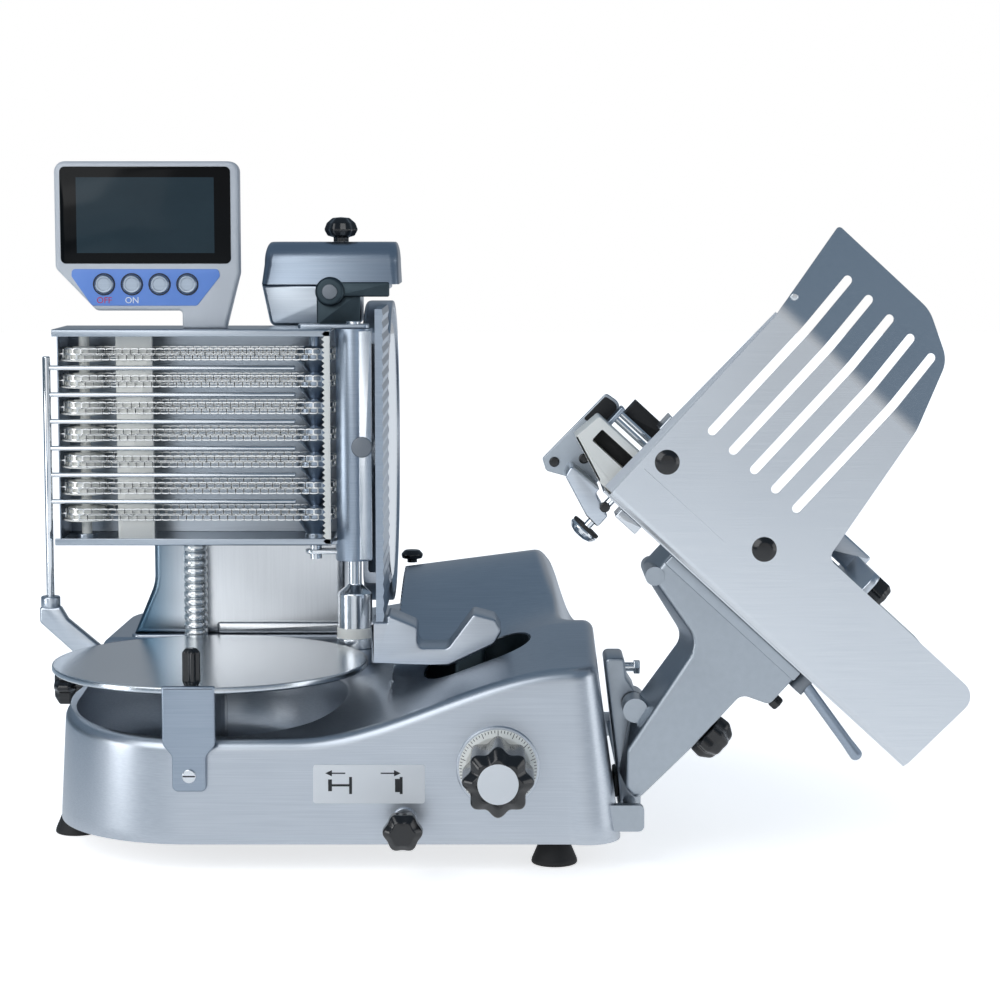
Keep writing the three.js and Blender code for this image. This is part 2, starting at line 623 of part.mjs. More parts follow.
// Spindle with one wheel under each chain, with or without a lower flange
function spool(x, flanged, material, name) {
  const { y, radius, flange, flangeHeight } = SPINDLE;
  const tread = CHAIN.radius - CHAIN.thickness / 2 - 2 * GAP;
  const half = CHAIN.height / 2;
  const profile = [[0, FRAME.z0 + GAP], [radius, FRAME.z0 + GAP]];
  for (let row = 0; row < CHAIN.rows; row++) {
    const z = chainHeight(row);
    const low = z - half - GAP;
    profile.push([radius, flanged ? low - flangeHeight : low]);
    if (flanged) profile.push([flange, low - flangeHeight], [flange, low]);
    profile.push([tread, low], [tread, z + half], [radius, z + half]);
  }
  profile.push([radius, FRAME.z1 - GAP], [0, FRAME.z1 - GAP]);
  add(name, turned(profile, "z", [x, y, 0], flanged ? 10 : 8), material);
}

function makeConveyor() {
  const { x0, x1, y0, y1, z0, z1, sheet, lip, flangeX0, flangeWidth } = FRAME;
  const channel = outline([
    [y0, z0], [y1, z0], [y1, z1], [y0, z1], [y0, z1 - lip], [y0 + sheet, z1 - lip],
    [y0 + sheet, z1 - sheet], [y1 - sheet, z1 - sheet], [y1 - sheet, z0 + sheet],
    [y0 + sheet, z0 + sheet], [y0 + sheet, z0 + lip], [y0, z0 + lip],
  ]);
  const strip = box(flangeX0, flangeX0 + flangeWidth, y0, y0 + sheet, z0 + 1, z1 - 1);
  const half = COLUMN.tabWidth / 2;
  const tab = (z) => box(
    SPINDLE.drumX - 18, COLUMN.x + 18, COLUMN.y - half, COLUMN.y + half, z, z + COLUMN.tab);
  const bush = (x, z) => drum(SPINDLE.bush, z, z + lip, "z", [x, SPINDLE.y, 0], 12);
  const frame = joined(
    sidePlate(channel, x0, x1 - x0), strip,
    tab(z0 - COLUMN.tab + 0.5), tab(z1 - 0.5),
    bush(SPINDLE.drumX, z0), bush(SPINDLE.idlerX, z0),
    bush(SPINDLE.drumX, z1 - lip), bush(SPINDLE.idlerX, z1 - lip),
  );
  const bore = (x, y, radius) => drum(radius + GAP, z0 - 20, z1 + 20, "z", [x, y, 0], 12);
  const bores = [
    bore(SPINDLE.drumX, SPINDLE.y, SPINDLE.radius), bore(SPINDLE.idlerX, SPINDLE.y, SPINDLE.radius),
    bore(COLUMN.x, COLUMN.y, COLUMN.shaftRadius),
  ];
  add("conveyor_frame", cut(frame, ...bores), STEEL);
  const back = SPINDLE.y - CHAIN.radius + CHAIN.thickness / 2 + 1;
  const guide = box(GUIDE.x - GUIDE.width / 2, GUIDE.x + GUIDE.width / 2, back, back + GUIDE.thickness,
    z0 + sheet + GAP, z1 - sheet - GAP);
  add("chain_guide_plate", guide, CREAM);
  spool(SPINDLE.drumX, false, DARK, "drive_drum");
  spool(SPINDLE.idlerX, true, CREAM, "idler_rollers");
  makeChains();
}

// Eject comb on its elbow arm
function makeComb() {
  const collarFloor = ELBOW.collarTop - 12;
  const pieces = [drum(COMB.rodRadius, collarFloor + GAP, COMB.top, "z", [COMB.x, COMB.y, 0], 12)];
  for (let row = 0; row + 1 < CHAIN.rows; row++) {
    const z = chainHeight(row) + CHAIN.pitch / 2;
    pieces.push(drum(COMB.prongRadius, COMB.x, COMB.prongEnd, "x", [0, COMB.y, z], 8));
  }
  add("eject_comb", joined(...pieces), STEEL);
  const { footX, thickness, collarTop, collarRadius, bossTop } = ELBOW;
  const half = collarRadius;
  const arm = outline([
    [footX - 8, bossTop + GAP], [footX + 8, bossTop + GAP], [footX + 8, bossTop + 20, 8],
    [COMB.x + half, collarTop - 18, 4], [COMB.x + half, collarTop], [COMB.x - half, collarTop],
    [COMB.x - half, collarTop - 18, 8], [footX - 8, bossTop + 12, 6],
  ]);
  const body = frontPlate(arm, COMB.y - thickness / 2, thickness, 4);
  const socket = drum(COMB.rodRadius + GAP, collarFloor, collarTop + 1, "z", [COMB.x, COMB.y, 0], 16);
  add("comb_arm", cut(body, socket), CAST);
}

// Support column and half-round deflector
function makeColumn() {
  const { x, y, radius, shaftRadius, bossTop, shoulder, top } = COLUMN;
  const column = turned([
    [0, bossTop + GAP], [radius + 2, bossTop + GAP], [radius + 2, bossTop + 12], [radius, bossTop + 12],
    [radius, shoulder], [shaftRadius, shoulder + 10], [shaftRadius, top], [0, top],
  ], "z", [x, y, 0]);
  add("drive_post", column, STEEL);
  const outer = DEFLECTOR.radius;
  const { wall, lower, upper, frontDepth } = DEFLECTOR;
  const lowTop = FRAME.z0 - COLUMN.tab + 0.5 - GAP;
  const highTop = FRAME.z1 - 0.5 - GAP;
  const at = [x, y, 0];
  const tube = cut(drum(outer, lower, highTop, "z", at), drum(outer - wall, lower - 1, highTop + 1, "z", at));
  const front = box(x - outer - 1, x + outer + 1, y - outer - 1, y - frontDepth, lower, highTop);
  const block = (z0, z1) => cut(
    drum(outer - wall + 0.5, z0, z1, "z", at),
    drum(shaftRadius + 2 * GAP, z0 - 1, z1 + 1, "z", at, 12),
  );
  const sheet = joined(common(tube, front), block(lower, lowTop), block(upper, highTop));
  add("slice_deflector", sheet, STEEL);
}

// Touch display
function makeDisplay() {
  const { front, depth, left, right, top, glass, pocket } = DISPLAY;
  const { neckLeft, neckRight, chin, paneLow, keysHigh } = DISPLAY;
  const neck = FRAME.z1 + GAP;
  const housing = frontPlate(outline([
    [left, top, 12], [left, chin + 48, 8], [left + 46, chin, 6], [neckLeft, chin, 6], [neckLeft, neck],
    [neckRight, neck], [right, chin + 42, 10], [right, top, 12],
  ].reverse()), front, depth, 4);
  const pane = (m) => rectangle(left + 6.5 - m, paneLow - m, right - 9 + m, top - 6 + m, 5);
  const keysLow = chin + 5.6;
  const keys = (m) => outline([
    [left + 41 - m, keysLow - m, 5], [right - 48 + m, keysLow - m, 5], [right - 21 + m, keysHigh - 8, 5],
    [right - 23 + m, keysHigh + m, 4], [left + 19 - m, keysHigh + m, 4], [left + 18 - m, keysHigh - 8, 5],
  ]);
  const holes = [];
  for (let i = 0; i < BUTTON.count; i++) holes.push([BUTTON.x + i * BUTTON.pitch, BUTTON.z]);
  const well = ([x, z]) => drum(BUTTON.radius + 0.4, 0, 8, "y", [x, front - 3, z], 12);
  const floor = front + pocket;
  const body = cut(housing,
    frontPlate(pane(GAP), front - 1, pocket + 1, 3), frontPlate(keys(GAP), front - 1, pocket + 1, 3),
    ...holes.map(well));
  add("display_housing", body, DARK);
  add("display_screen", frontPlate(pane(0), floor - GAP - glass, glass, 3), GLASS);
  const panel = frontPlate(keys(0), floor - GAP - glass, glass, 3);
  add("button_panel", cut(panel, ...holes.map(well)), BLUE);
  const seat = front + 5 - GAP - BUTTON.travel;
  holes.forEach(([x, z], i) => {
    const button = turned([
      [0, front - BUTTON.proud], [BUTTON.radius - 2, front - BUTTON.proud],
      [BUTTON.radius, front - BUTTON.proud + 2], [BUTTON.radius, seat], [0, seat],
    ], "y", [x, 0, z], 12);
    add(`push_button_${i + 1}`, button, STEEL);
  });
}

// Blade sharpener
function makeSharpener() {
  const { x0, x1, y0, y1, z0, split, top, reach } = SHARPENER;
  const lower = frontPlate(outline([
    [x0 + 10, z0, 8], [x1, z0, 4], [x1, split], [x0, split],
  ]), y0, y1 - y0);
  const boss = drum(17, y0 - 14, y0 + 1, "y", [x1 - 34, 0, split - 18]);
  const arm = frontPlate(rectangle(x1 - 36, split - 22, x1 + 31, split - 1, 4), y0 - 10, 10.5);
  add("sharpener_housing", joined(lower, boss, arm), CAST);
  const seat = split + GAP;
  const roof = frontPlate(outline([
    [x0, seat], [reach, seat], [reach - 2, top, 14], [x0 + 6, top, 22],
  ]), y0 - 5, y1 - y0 + 10);
  const slope = sidePlate(outline([
    [y0 - 5, seat], [y1 + 5, seat], [y1 + 5, top - 22, 10], [y1 - 22, top, 16], [y0 + 22, top, 16],
    [y0 - 5, top - 22, 10],
  ]), x0 - 1, reach - x0 + 2);
  add("sharpener_cover", common(roof, slope), CAST);
  const knob = SHARPENER_KNOB;
  const low = top + GAP;
  const body = turned([
    [0, low], [9, low], [9, low + 5], [knob.radius - 4, low + 7], [knob.radius, low + 14],
    [knob.radius - 3, low + 22], [knob.radius - 10, low + knob.height], [0, low + knob.height + 1],
  ], "z", [knob.x, knob.y, 0]);
  add("sharpener_knob", body, BLACK);
}

// Gauge plate on its sliding bracket
function makeGauge() {
  const { x, thickness, front, back, z0, z1, ribs, rib } = GAUGE;
  const pitch = (z1 - z0) / ribs;
  const profile = [[x - thickness, z1], [x - thickness, z0]];
  for (let i = 0; i < ribs; i++) profile.push([x - rib, z0 + i * pitch], [x, z0 + (i + 0.5) * pitch]);
  profile.push([x - rib, z1]);
  const blank = frontPlate(outline(profile), front, back - front);
  const sweep = drum(BLADE.radius + 6, x - 30, x + 30, "x", [0, BLADE.y, BLADE.z], 64);
  add("gauge_plate", cut(blank, sweep), STEEL);
  const arm = outline([
    [x - thickness - 5, 200.5], [-56, 198, 8], [-6, 222, 8], [3, 236, 6], [-5, 249, 6], [-29, 256, 4],
    [-57, 217.5, 5], [-90, 217.5, 5], [-90, 241, 5], [x + 3, z0 + 9], [x + 3, z0 - GAP],
    [x - thickness - 5, z0 - GAP],
  ]);
  const body = frontPlate(arm, front - 5, 60, 3);
  const stem = box(STEM.x - STEM.width / 2, STEM.x + STEM.width / 2,
    SLOT.y - STEM.depth / 2, SLOT.y + STEM.depth / 2, SLOT.floor + GAP, 225);
  add("gauge_bracket", joined(body, stem), CAST);
}

// Front and side knobs
function makeKnobs() {
  const face = DIAL.seat - DIAL.thickness;
  const dial = turned([
    [0, DIAL.seat], [DIAL.radius, DIAL.seat], [DIAL.radius, DIAL.seat - 2],
    [DIAL.radius - 7, face], [0, face],
  ], "y", [DIAL.x, 0, DIAL.z], 32);
  add("thickness_dial", dial, CREAM);
  const grip = frontPlate(lobed(KNOB.radius, KNOB.lobes, 6), face - GAP - KNOB.length, KNOB.length);
  const crown = turned([
    [0, 0], [24, 0], [KNOB.radius + 1, 9], [KNOB.radius + 1, KNOB.length + 1], [0, KNOB.length + 1],
  ], "y", [0, face - GAP - KNOB.length, 0], 32);
  add("thickness_knob", common(grip, crown).translate(DIAL.x, 0, DIAL.z), BLACK);

  const mode = MODE_KNOB;
  const tip = mode.seat - mode.reach;
  const button = turned([
    [0, mode.seat + mode.inside], [mode.stem, mode.seat + mode.inside], [mode.stem, tip + mode.length],
    [mode.radius - 3, tip + mode.length], [mode.radius, tip + mode.length - 5],
    [mode.radius - 1, tip + 7], [mode.radius - 8, tip + 1], [0, tip],
  ], "y", [mode.x, 0, mode.z]);
  add("mode_knob", button, BLACK);

  const side = SIDE_KNOB;
  const outer = side.seat - GAP;
  const star = sidePlate(lobed(side.radius, side.lobes, 7), outer - side.length, side.length);
  add("side_knob", star.translate(0, side.y, side.z), BLACK);
}

// Product carriage: the slide stays upright, the rest tilts about the hinge
function makeCarriage() {
  const { y0, y1, top } = SLIDE;
  const profile = outline([
    [112, top, 6], [129, 68], [129, 42, 4], [153, 42, 4], [153, 69, 4], [146, 76], [146, 176, 6],
    [137, 190], [134, top, 5],
  ]);
  const pin = drum(HINGE.pin, ARM.y0 + 28, y0 + 2, "y", [HINGE.x, 0, HINGE.z], 14);
  const ear = drum(HINGE.boss, y0, y0 + 36, "y", [HINGE.x, 0, HINGE.z], 14);
  const rodBore = drum(ROD.radius + GAP, y0 - 1, y1 + 1, "y", [ROD.x, 0, ROD.z], 14);
  add("carriage_slide", cut(joined(frontPlate(profile, y0, y1 - y0), ear, pin), rodBore), CAST);

  const tilt = new THREE.Group();
  tilt.position.set(HINGE.x, 0, HINGE.z);
  tilt.rotation.y = THREE.MathUtils.degToRad(HINGE.tiltDeg);
  slicer.add(tilt);
  makeArm(tilt);
  makeTray(tilt);
  makeHolder(tilt);
}

function makeArm(tilt) {
  const { y0, y1, top } = ARM;
  const body = frontPlate(outline([
    [-98, top], [-98, 116, 14], [-37, 106, 20], [20, -33, 10], [44, -67, 8], [64, -68, 6], [68, 13],
    [68, 90, 10], [97, 102, 6], [97, top],
  ]), y0, y1 - y0, 3);
  const boss = drum(HINGE.boss, y0 + 20, y1, "y", [0, 0, 0], 14);
  const bore = drum(HINGE.pin + GAP, y0 - 1, y1 + 1, "y", [0, 0, 0], 14);
  add("carriage_arm", cut(joined(body, boss), bore), CAST, tilt);
  const knob = sidePlate(lobed(ARM_KNOB.radius, ARM_KNOB.lobes, 5), ARM_KNOB.u, ARM_KNOB.length);
  add("arm_knob", knob.translate(0, ARM_KNOB.y, ARM_KNOB.v), BLACK, tilt);
  const lever = LEVER;
  const hubTop = top - GAP;
  const hub = drum(lever.hub, hubTop - 18, hubTop, "z", [lever.u + 3, lever.y, 0], 16);
  const rod = drum(lever.rod, 0, lever.length, "x", [0, 0, 0], 12);
  const ball = new THREE.SphereGeometry(lever.ball, 10, 6).translate(lever.length, 0, 0);
  const stick = joined(rod, ball).rotateY(0.18).translate(lever.u + 3, lever.y, hubTop - 9);
  add("release_lever", joined(hub, stick), BLACK, tilt);
}

function makeTray(tilt) {
  const { u0, u1, floor, sheet, y0, y1, wall } = TRAY;
  const deck = box(u0, u1, y0, y1, floor - sheet, floor);
  const rear = frontPlate(outline([
    [u0, floor - sheet], [u1, floor - sheet], [u1, wall, 40], [u0, wall, 8],
  ]), y1 - sheet, sheet);
  add("carriage_tray", joined(deck, rear), STEEL, tilt);

  const { y, foldV, foldDeg, top } = PLATE;
  const low = floor - sheet;
  const front = y - PLATE.sheet;
  const lower = frontPlate(outline([
    [u0, low, 6], [u1, low], [u1 + 5, 258, 18], [33, 258, 8], [9, foldV], [u0 + 5, foldV],
  ]), front, PLATE.sheet);
  const rise = (top - foldV) / Math.cos(THREE.MathUtils.degToRad(foldDeg));
  const flap = frontPlate(outline([
    [9, -1], [-12, rise - 30, 30], [-60, rise, 40], [u0 - 4, rise, 4], [u0 + 5, -1],
  ].reverse()), -PLATE.sheet, PLATE.sheet, 6);
  flap.rotateX(THREE.MathUtils.degToRad(-foldDeg)).translate(0, y, foldV);
  const lip = levelPlate(outline([
    [u0 + 3, front], [u0 + 3, y], [u0 - 1.2, y], [u0 - 16, y + 15], [u0 - 18.2, y + 12.9], [u0 - 2.4, front],
  ].reverse()), low + 14, foldV - low - 20);
  const slats = [];
  for (let i = 0; i < SLATS.count; i++) {
    const u = SLATS.u + i * SLATS.pitch;
    const half = SLATS.width / 2;
    slats.push(frontPlate(rectangle(u - half, SLATS.v0, u + half, SLATS.v1, half - 0.1), y - 60, 200, 2));
  }
  add("guard_plate", cut(joined(lower, flap, lip), ...slats), STEEL, tilt);
}

function makeHolder(tilt) {
  const { u0, u1, v1, y0, y1, teeth, tooth, shoe } = HOLDER;
  const seat = TRAY.floor + GAP;
  const pitch = (v1 - 10 - seat) / teeth;
  const profile = [[u1 + shoe, seat], [u1 + shoe, seat + 12], [u1, seat + 16], [u1, v1], [u0 + 12, v1]];
  for (let i = teeth; i > 0; i--) profile.push([u0, seat + i * pitch], [u0 + tooth, seat + (i - 1) * pitch]);
  const jaw = frontPlate(outline(profile.reverse()), y0, y1 - y0);
  add("product_holder", jaw, CREAM, tilt);
  const knob = PULL_KNOB;
  const hung = TRAY.floor - TRAY.sheet - GAP;
  const pull = turned([
    [0, hung], [knob.stem, hung], [knob.stem, hung - knob.drop], [knob.radius - 6, hung - knob.drop - 2],
    [knob.radius, hung - knob.drop - 8], [knob.radius - 2, hung - knob.drop - 14],
    [8, hung - knob.drop - knob.head], [0, hung - knob.drop - knob.head],
  ], "z", [knob.u, knob.y, 0]);
  add("holder_pull_knob", pull, CHROME, tilt);
  const push = PUSHER;
  const wall = sidePlate(rectangle(push.y0, seat, push.y1, push.top, 12), push.u, push.wall);
  const block = box(push.u - 32, push.u + push.wall + 6, 8, push.y1 - 2, push.top - 20, push.top + 8);
  const grip = turned([
    [0, 0], [9, 0], [9, 6], [17, 10], [17, 40], [13, 46], [0, 46],
  ], "x", [push.u + push.wall + 5, 30, push.top - 16], 14);
  add("product_pusher", joined(wall, block, grip), CAST, tilt);
}

makeBase();
makePlatter();
makeTower();
makeBlade();
makeConduit();
makeConveyor();
makeComb();
makeColumn();
makeDisplay();
makeSharpener();
makeGauge();
makeKnobs();
makeCarriage();

// The origin is at the middle of the underside
const extent = new THREE.Box3().setFromObject(slicer, true);
const middle = extent.getCenter(new THREE.Vector3());
slicer.position.set(-middle.x, -middle.y, -extent.min.z);

export default slicer;
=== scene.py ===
# %% [markdown]
# # Automatic food slicer
# This lesson dresses the solids of a deli slicer: satin castings, brushed sheet steel, a chain conveyor,
# a touch display and a carriage that is tilted out. The solids fix every size and every joint.
# The scene puts finer surfaces over them and gives each one its finish.

# %% Loading the solids
import math
import bmesh
import bpy
import numpy as np
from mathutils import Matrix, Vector


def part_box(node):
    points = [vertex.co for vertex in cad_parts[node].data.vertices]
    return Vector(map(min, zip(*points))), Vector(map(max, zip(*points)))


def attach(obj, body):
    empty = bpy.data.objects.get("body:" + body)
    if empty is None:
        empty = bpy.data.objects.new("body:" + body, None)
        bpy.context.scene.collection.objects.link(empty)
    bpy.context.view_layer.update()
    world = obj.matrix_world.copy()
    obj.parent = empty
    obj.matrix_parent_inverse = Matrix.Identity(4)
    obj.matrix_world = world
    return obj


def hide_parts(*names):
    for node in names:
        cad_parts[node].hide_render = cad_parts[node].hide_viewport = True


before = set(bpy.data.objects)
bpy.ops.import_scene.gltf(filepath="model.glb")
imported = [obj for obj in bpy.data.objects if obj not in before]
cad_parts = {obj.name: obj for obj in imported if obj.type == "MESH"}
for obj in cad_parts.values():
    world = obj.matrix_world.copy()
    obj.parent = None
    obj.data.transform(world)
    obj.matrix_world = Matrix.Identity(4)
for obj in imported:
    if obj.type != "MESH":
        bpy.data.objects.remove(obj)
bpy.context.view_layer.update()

# %% [markdown]
# The drawing of the machine is in millimetres, with zero in the middle of the platter's axle, and the frame
# is in metres. One shift joins them. It is measured on the platter post, which stands on that axle.

# %% Drawing to frame
MM = 0.001
PLATTER_X = -320.0
post_low, post_high = (np.array(corner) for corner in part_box("platter_post"))
SHIFT = (post_low + post_high) / 2 - np.array([PLATTER_X * MM, 0, 0])
SHIFT[2] = 0


def edges(node):
    """Left, right, front, back, bottom and top of a solid, in millimetres of the drawing."""
    low, high = ((np.array(corner) - SHIFT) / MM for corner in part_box(node))
    return low[0], high[0], low[1], high[1], low[2], high[2]


def axle(node, axis):
    """The middle of a solid that turns round an axis, with zero along that axis."""
    left, right, front, back, low, high = edges(node)
    middle = np.array([(left + right) / 2, (front + back) / 2, (low + high) / 2])
    middle["xyz".index(axis)] = 0
    return middle


print("shift of the drawing in mm:", (SHIFT / MM).round(2))

# %% [markdown]
# A shape is a pair: its points as one array, and its faces. Rings of points joined by quads make turned,
# lofted and extruded forms alike, so one function gives the faces of them all.

# %% Rings of points
def ring_faces(rows, columns, closed=False):
    """Quads between ring i and ring i + 1, from column j to column j + 1, where the columns close."""
    i = np.arange(rows if closed else rows - 1)[:, None]
    j = np.arange(columns)[None, :]
    here, above = i * columns, (i + 1) % rows * columns
    after = (j + 1) % columns
    return np.stack([here + j, here + after, above + after, above + j], axis=-1).reshape(-1, 4).tolist()


def end_faces(rows, columns):
    """One flat face on the first ring and one on the last."""
    last = (rows - 1) * columns
    return [list(range(columns))[::-1], [last + i for i in range(columns)]]


def together(*shapes):
    """Several shapes as one: the faces of each count on from the points before it."""
    points, faces, count = [], [], 0
    for shape_points, shape_faces in shapes:
        points.append(np.asarray(shape_points, float).reshape(-1, 3))
        faces += [[index + count for index in face] for face in shape_faces]
        count += len(points[-1])
    return np.concatenate(points), faces


def turned(profile, axis, at, segments=72, closed=False, lobes=0, dip=0.0):
    """Pairs of radius and distance turned round an axis: radius times cosine and sine of the angle. The
    radius sinks by a dip between the lobes of a grip, in step with a cosine."""
    radius, along = (np.array(column, float)[:, None] for column in zip(*profile))
    angle = np.linspace(0, 2 * np.pi, segments, endpoint=False)[None, :]
    sunk = dip / 2 * (1 - np.cos(lobes * angle))
    reach = radius - sunk * np.minimum(1, radius / radius.max())
    across, up, along = reach * np.cos(angle), reach * np.sin(angle), along + 0 * angle
    order = {"x": (along, across, up), "y": (across, along, up), "z": (across, up, along)}[axis]
    return np.stack(order, axis=-1).reshape(-1, 3) + np.array(at, float), ring_faces(*across.shape, closed)


# %% [markdown]
# Real edges are never sharp. Corners are given with a radius, and each becomes an arc that touches both of
# its sides. The same function rounds the outline of a plate and the profile of a turned knob.

# %% Rounded corners
def eased(corners, closed=True, steps=6):
    """Corners of x, y and radius: each is replaced by the arc of that radius which touches both sides."""
    count = len(corners)
    places = [np.array(corner[:2], float) for corner in corners]
    line = []
    for i, corner in enumerate(corners):
        here = places[i]
        radius = corner[2] if len(corner) > 2 else 0
        if radius == 0 or (not closed and i in (0, count - 1)):
            line.append(here[None, :])
            continue
        a, b = (places[(i + step) % count] - here for step in (-1, 1))
        a, b = a / np.linalg.norm(a), b / np.linalg.norm(b)
        half = math.acos(np.clip(a @ b, -1, 1)) / 2
        middle = (a + b) / np.linalg.norm(a + b)
        centre = here + middle * radius / math.sin(half)
        start, end = (here + side * radius / math.tan(half) - centre for side in (a, b))
        turn = math.atan2(start[0] * end[1] - start[1] * end[0], start @ end)
        angle = math.atan2(start[1], start[0]) + np.linspace(0, turn, steps + 1)
        line.append(centre + radius * np.stack([np.cos(angle), np.sin(angle)], axis=-1))
    return np.concatenate(line)


def rectangle(x0, y0, x1, y1, radius=0.0):
    """The corners of an upright rectangle, all of one radius."""
    return [(x0, y0, radius), (x1, y0, radius), (x1, y1, radius), (x0, y1, radius)]


def spun(corners, axis, at, segments=72, steps=6, **grip):
    """Corners of radius, distance and rounding, from axle to axle, turned into a full body."""
    return turned(eased(corners, closed=False, steps=steps), axis, at, segments, **grip)


def hoop(corners, axis, at, segments=72, steps=6):
    """Corners of a closed section, turned into a ring."""
    return turned(eased(corners, steps=steps), axis, at, segments, closed=True)


def boss(radius, start, end, axis, at, edge=1.5, segments=64):
    """A round boss from start to end, where its edge is rounded."""
    return spun([(0, start), (radius, start), (radius, end, edge), (0, end)], axis, at, segments)


# %% [markdown]
# Plates, housings and brackets are outlines carried from one depth to another. The rings near both ends
# move inward along a quarter circle, which gives the rounded edge that catches the light.

# %% Plates with rounded edges
def front_view(across, depth, up):
    """Outline seen from the front."""
    return np.stack([across, depth, up], axis=-1)


def side_view(across, depth, up):
    """Outline seen from the right, carried along x."""
    return np.stack([depth, across, up], axis=-1)


def top_view(across, depth, up):
    """Outline seen from above, carried up."""
    return np.stack([across, up, depth], axis=-1)


def outward(outline):
    """Normals of a closed outline: the sum of both sides' normals, stretched so that all sides move alike."""
    after = np.roll(outline, -1, axis=0) - outline
    after = after / np.linalg.norm(after, axis=1)[:, None]
    before = np.roll(after, 1, axis=0)
    turn = after + before
    area = np.sum(outline[:, 0] * np.roll(outline[:, 1], -1) - np.roll(outline[:, 0], -1) * outline[:, 1])
    normal = np.stack([turn[:, 1], -turn[:, 0]], axis=-1) * np.sign(area)
    return 2 * normal / np.maximum(np.sum(turn * turn, axis=1), 1.0)[:, None]


def plate(corners, near, far, edge=1.0, view=front_view, steps=3, behind=None):
    """An outline carried from near to far: at both ends it moves in by edge times 1 - sine of an angle while
    the depth goes on by edge times 1 - cosine, and a flat face closes it. With a second outline for the far
    end, the points between are mixed by their share of the depth."""
    outline = eased(corners)
    change = eased(behind or corners) - outline
    normal = outward(outline)
    angle = np.linspace(0, np.pi / 2, steps + 1)
    inset, depth = edge * (1 - np.sin(angle)), edge * (1 - np.cos(angle))
    insets = np.concatenate([inset, inset[::-1]])[:, None]
    depths = np.concatenate([near + depth, far - depth[::-1]])[:, None]
    share = (depths - near) / (far - near)
    across = outline[None, :, 0] + share * change[None, :, 0] - insets * normal[None, :, 0]
    up = outline[None, :, 1] + share * change[None, :, 1] - insets * normal[None, :, 1]
    points = view(across, depths + 0 * across, up)
    return points.reshape(-1, 3), ring_faces(*across.shape) + end_faces(*across.shape)


def brick(x0, x1, y0, y1, z0, z1, edge=1.0):
    """A block with rounded edges."""
    return plate(rectangle(x0, z0, x1, z1, edge), y0, y1, edge)


# %% [markdown]
# Rods, levers and wires are a circle carried along a path. At each point the circle lies square to the path,
# and its first direction is carried on from the point before, so that the tube never twists.

# %% Tubes
ASKEW = (0.31, 0.52, 0.79)


def tube(path, radius, segments=16):
    """Path plus radius times cosine and sine of an angle along two directions square to the path."""
    path = np.array(path, float)
    along = np.gradient(path, axis=0)
    along = along / np.linalg.norm(along, axis=1)[:, None]
    start = np.cross(along[0], ASKEW)
    sides = [start / np.linalg.norm(start)]
    for direction in along[1:]:
        side = sides[-1] - direction * (sides[-1] @ direction)
        sides.append(side / np.linalg.norm(side))
    sides = np.array(sides)
    others = np.cross(along, sides)
    angle = np.linspace(0, 2 * np.pi, segments, endpoint=False)[None, :, None]
    radii = (np.zeros(len(path)) + radius)[:, None, None]
    points = path[:, None] + radii * (np.cos(angle) * sides[:, None] + np.sin(angle) * others[:, None])
    return points.reshape(-1, 3), ring_faces(len(path), segments) + end_faces(len(path), segments)


# %% [markdown]
# The carriage is drawn level and tilted afterwards about its hinge pin, as the real one is. Its own
# directions are u along the tray, v up from it, and y as on the rest of the machine.

# %% The tilt of the carriage
HINGE = np.array([144.0, 0, 163.0])
TILT = math.radians(42.5)


def tilted(shape):
    """Turns points about the y axis by the tilt and sets them on the hinge."""
    points, faces = shape
    u, y, v = np.asarray(points).reshape(-1, 3).T
    x = u * math.cos(TILT) + v * math.sin(TILT)
    z = v * math.cos(TILT) - u * math.sin(TILT)
    return np.stack([x, y, z], axis=-1) + HINGE, faces


# %% [markdown]
# The camera stands three metres in front of the machine and looks a little down on it. Its long lens was
# found from the sizes and the slant of the edges in the picture.

# %% Camera
CAMERA_BACK, CAMERA_HEIGHT, LOOK_DOWN = 2842.73, 689.02, 6.3


def in_frame(x, y, z):
    """A point of the drawing as a place in the frame."""
    return tuple(np.array([x, y, z]) * MM + SHIFT)


camera_data = bpy.data.cameras.new("camera")
camera_data.sensor_width = 36
camera_data.lens = 93.6
camera = bpy.data.objects.new("camera", camera_data)
bpy.context.scene.collection.objects.link(camera)
camera.location = in_frame(0, -CAMERA_BACK, CAMERA_HEIGHT)
camera.rotation_euler = (math.radians(90 - LOOK_DOWN), 0, 0)
bpy.context.scene.camera = camera
print("camera at", [round(value, 3) for value in camera.location])

# %% [markdown]
# A finish is a graph of nodes. A small class stands for one value in that graph, so that arithmetic on it
# reads as arithmetic and adds the Math nodes by itself.

# %% Values
class Value:
    """A socket of a graph. Operators on it add Math nodes."""

    def __init__(self, graph, socket):
        self.graph = graph
        self.socket = socket

    def math(self, operation, first, second):
        return self.graph.node("ShaderNodeMath", {"operation": operation}, {0: first, 1: second})

    def __add__(self, other):
        return self.math("ADD", self, other)

    def __radd__(self, other):
        return self.math("ADD", other, self)

    def __sub__(self, other):
        return self.math("SUBTRACT", self, other)

    def __rsub__(self, other):
        return self.math("SUBTRACT", other, self)

    def __mul__(self, other):
        return self.math("MULTIPLY", self, other)

    def __rmul__(self, other):
        return self.math("MULTIPLY", other, self)

    def __gt__(self, other):
        return self.math("GREATER_THAN", self, other)

    def __lt__(self, other):
        return self.math("LESS_THAN", self, other)


# %% [markdown]
# A second class holds a graph and has one method that adds any other node. The studio and the finishes are
# both made with it, and a finish is a graph that ends in a shader.

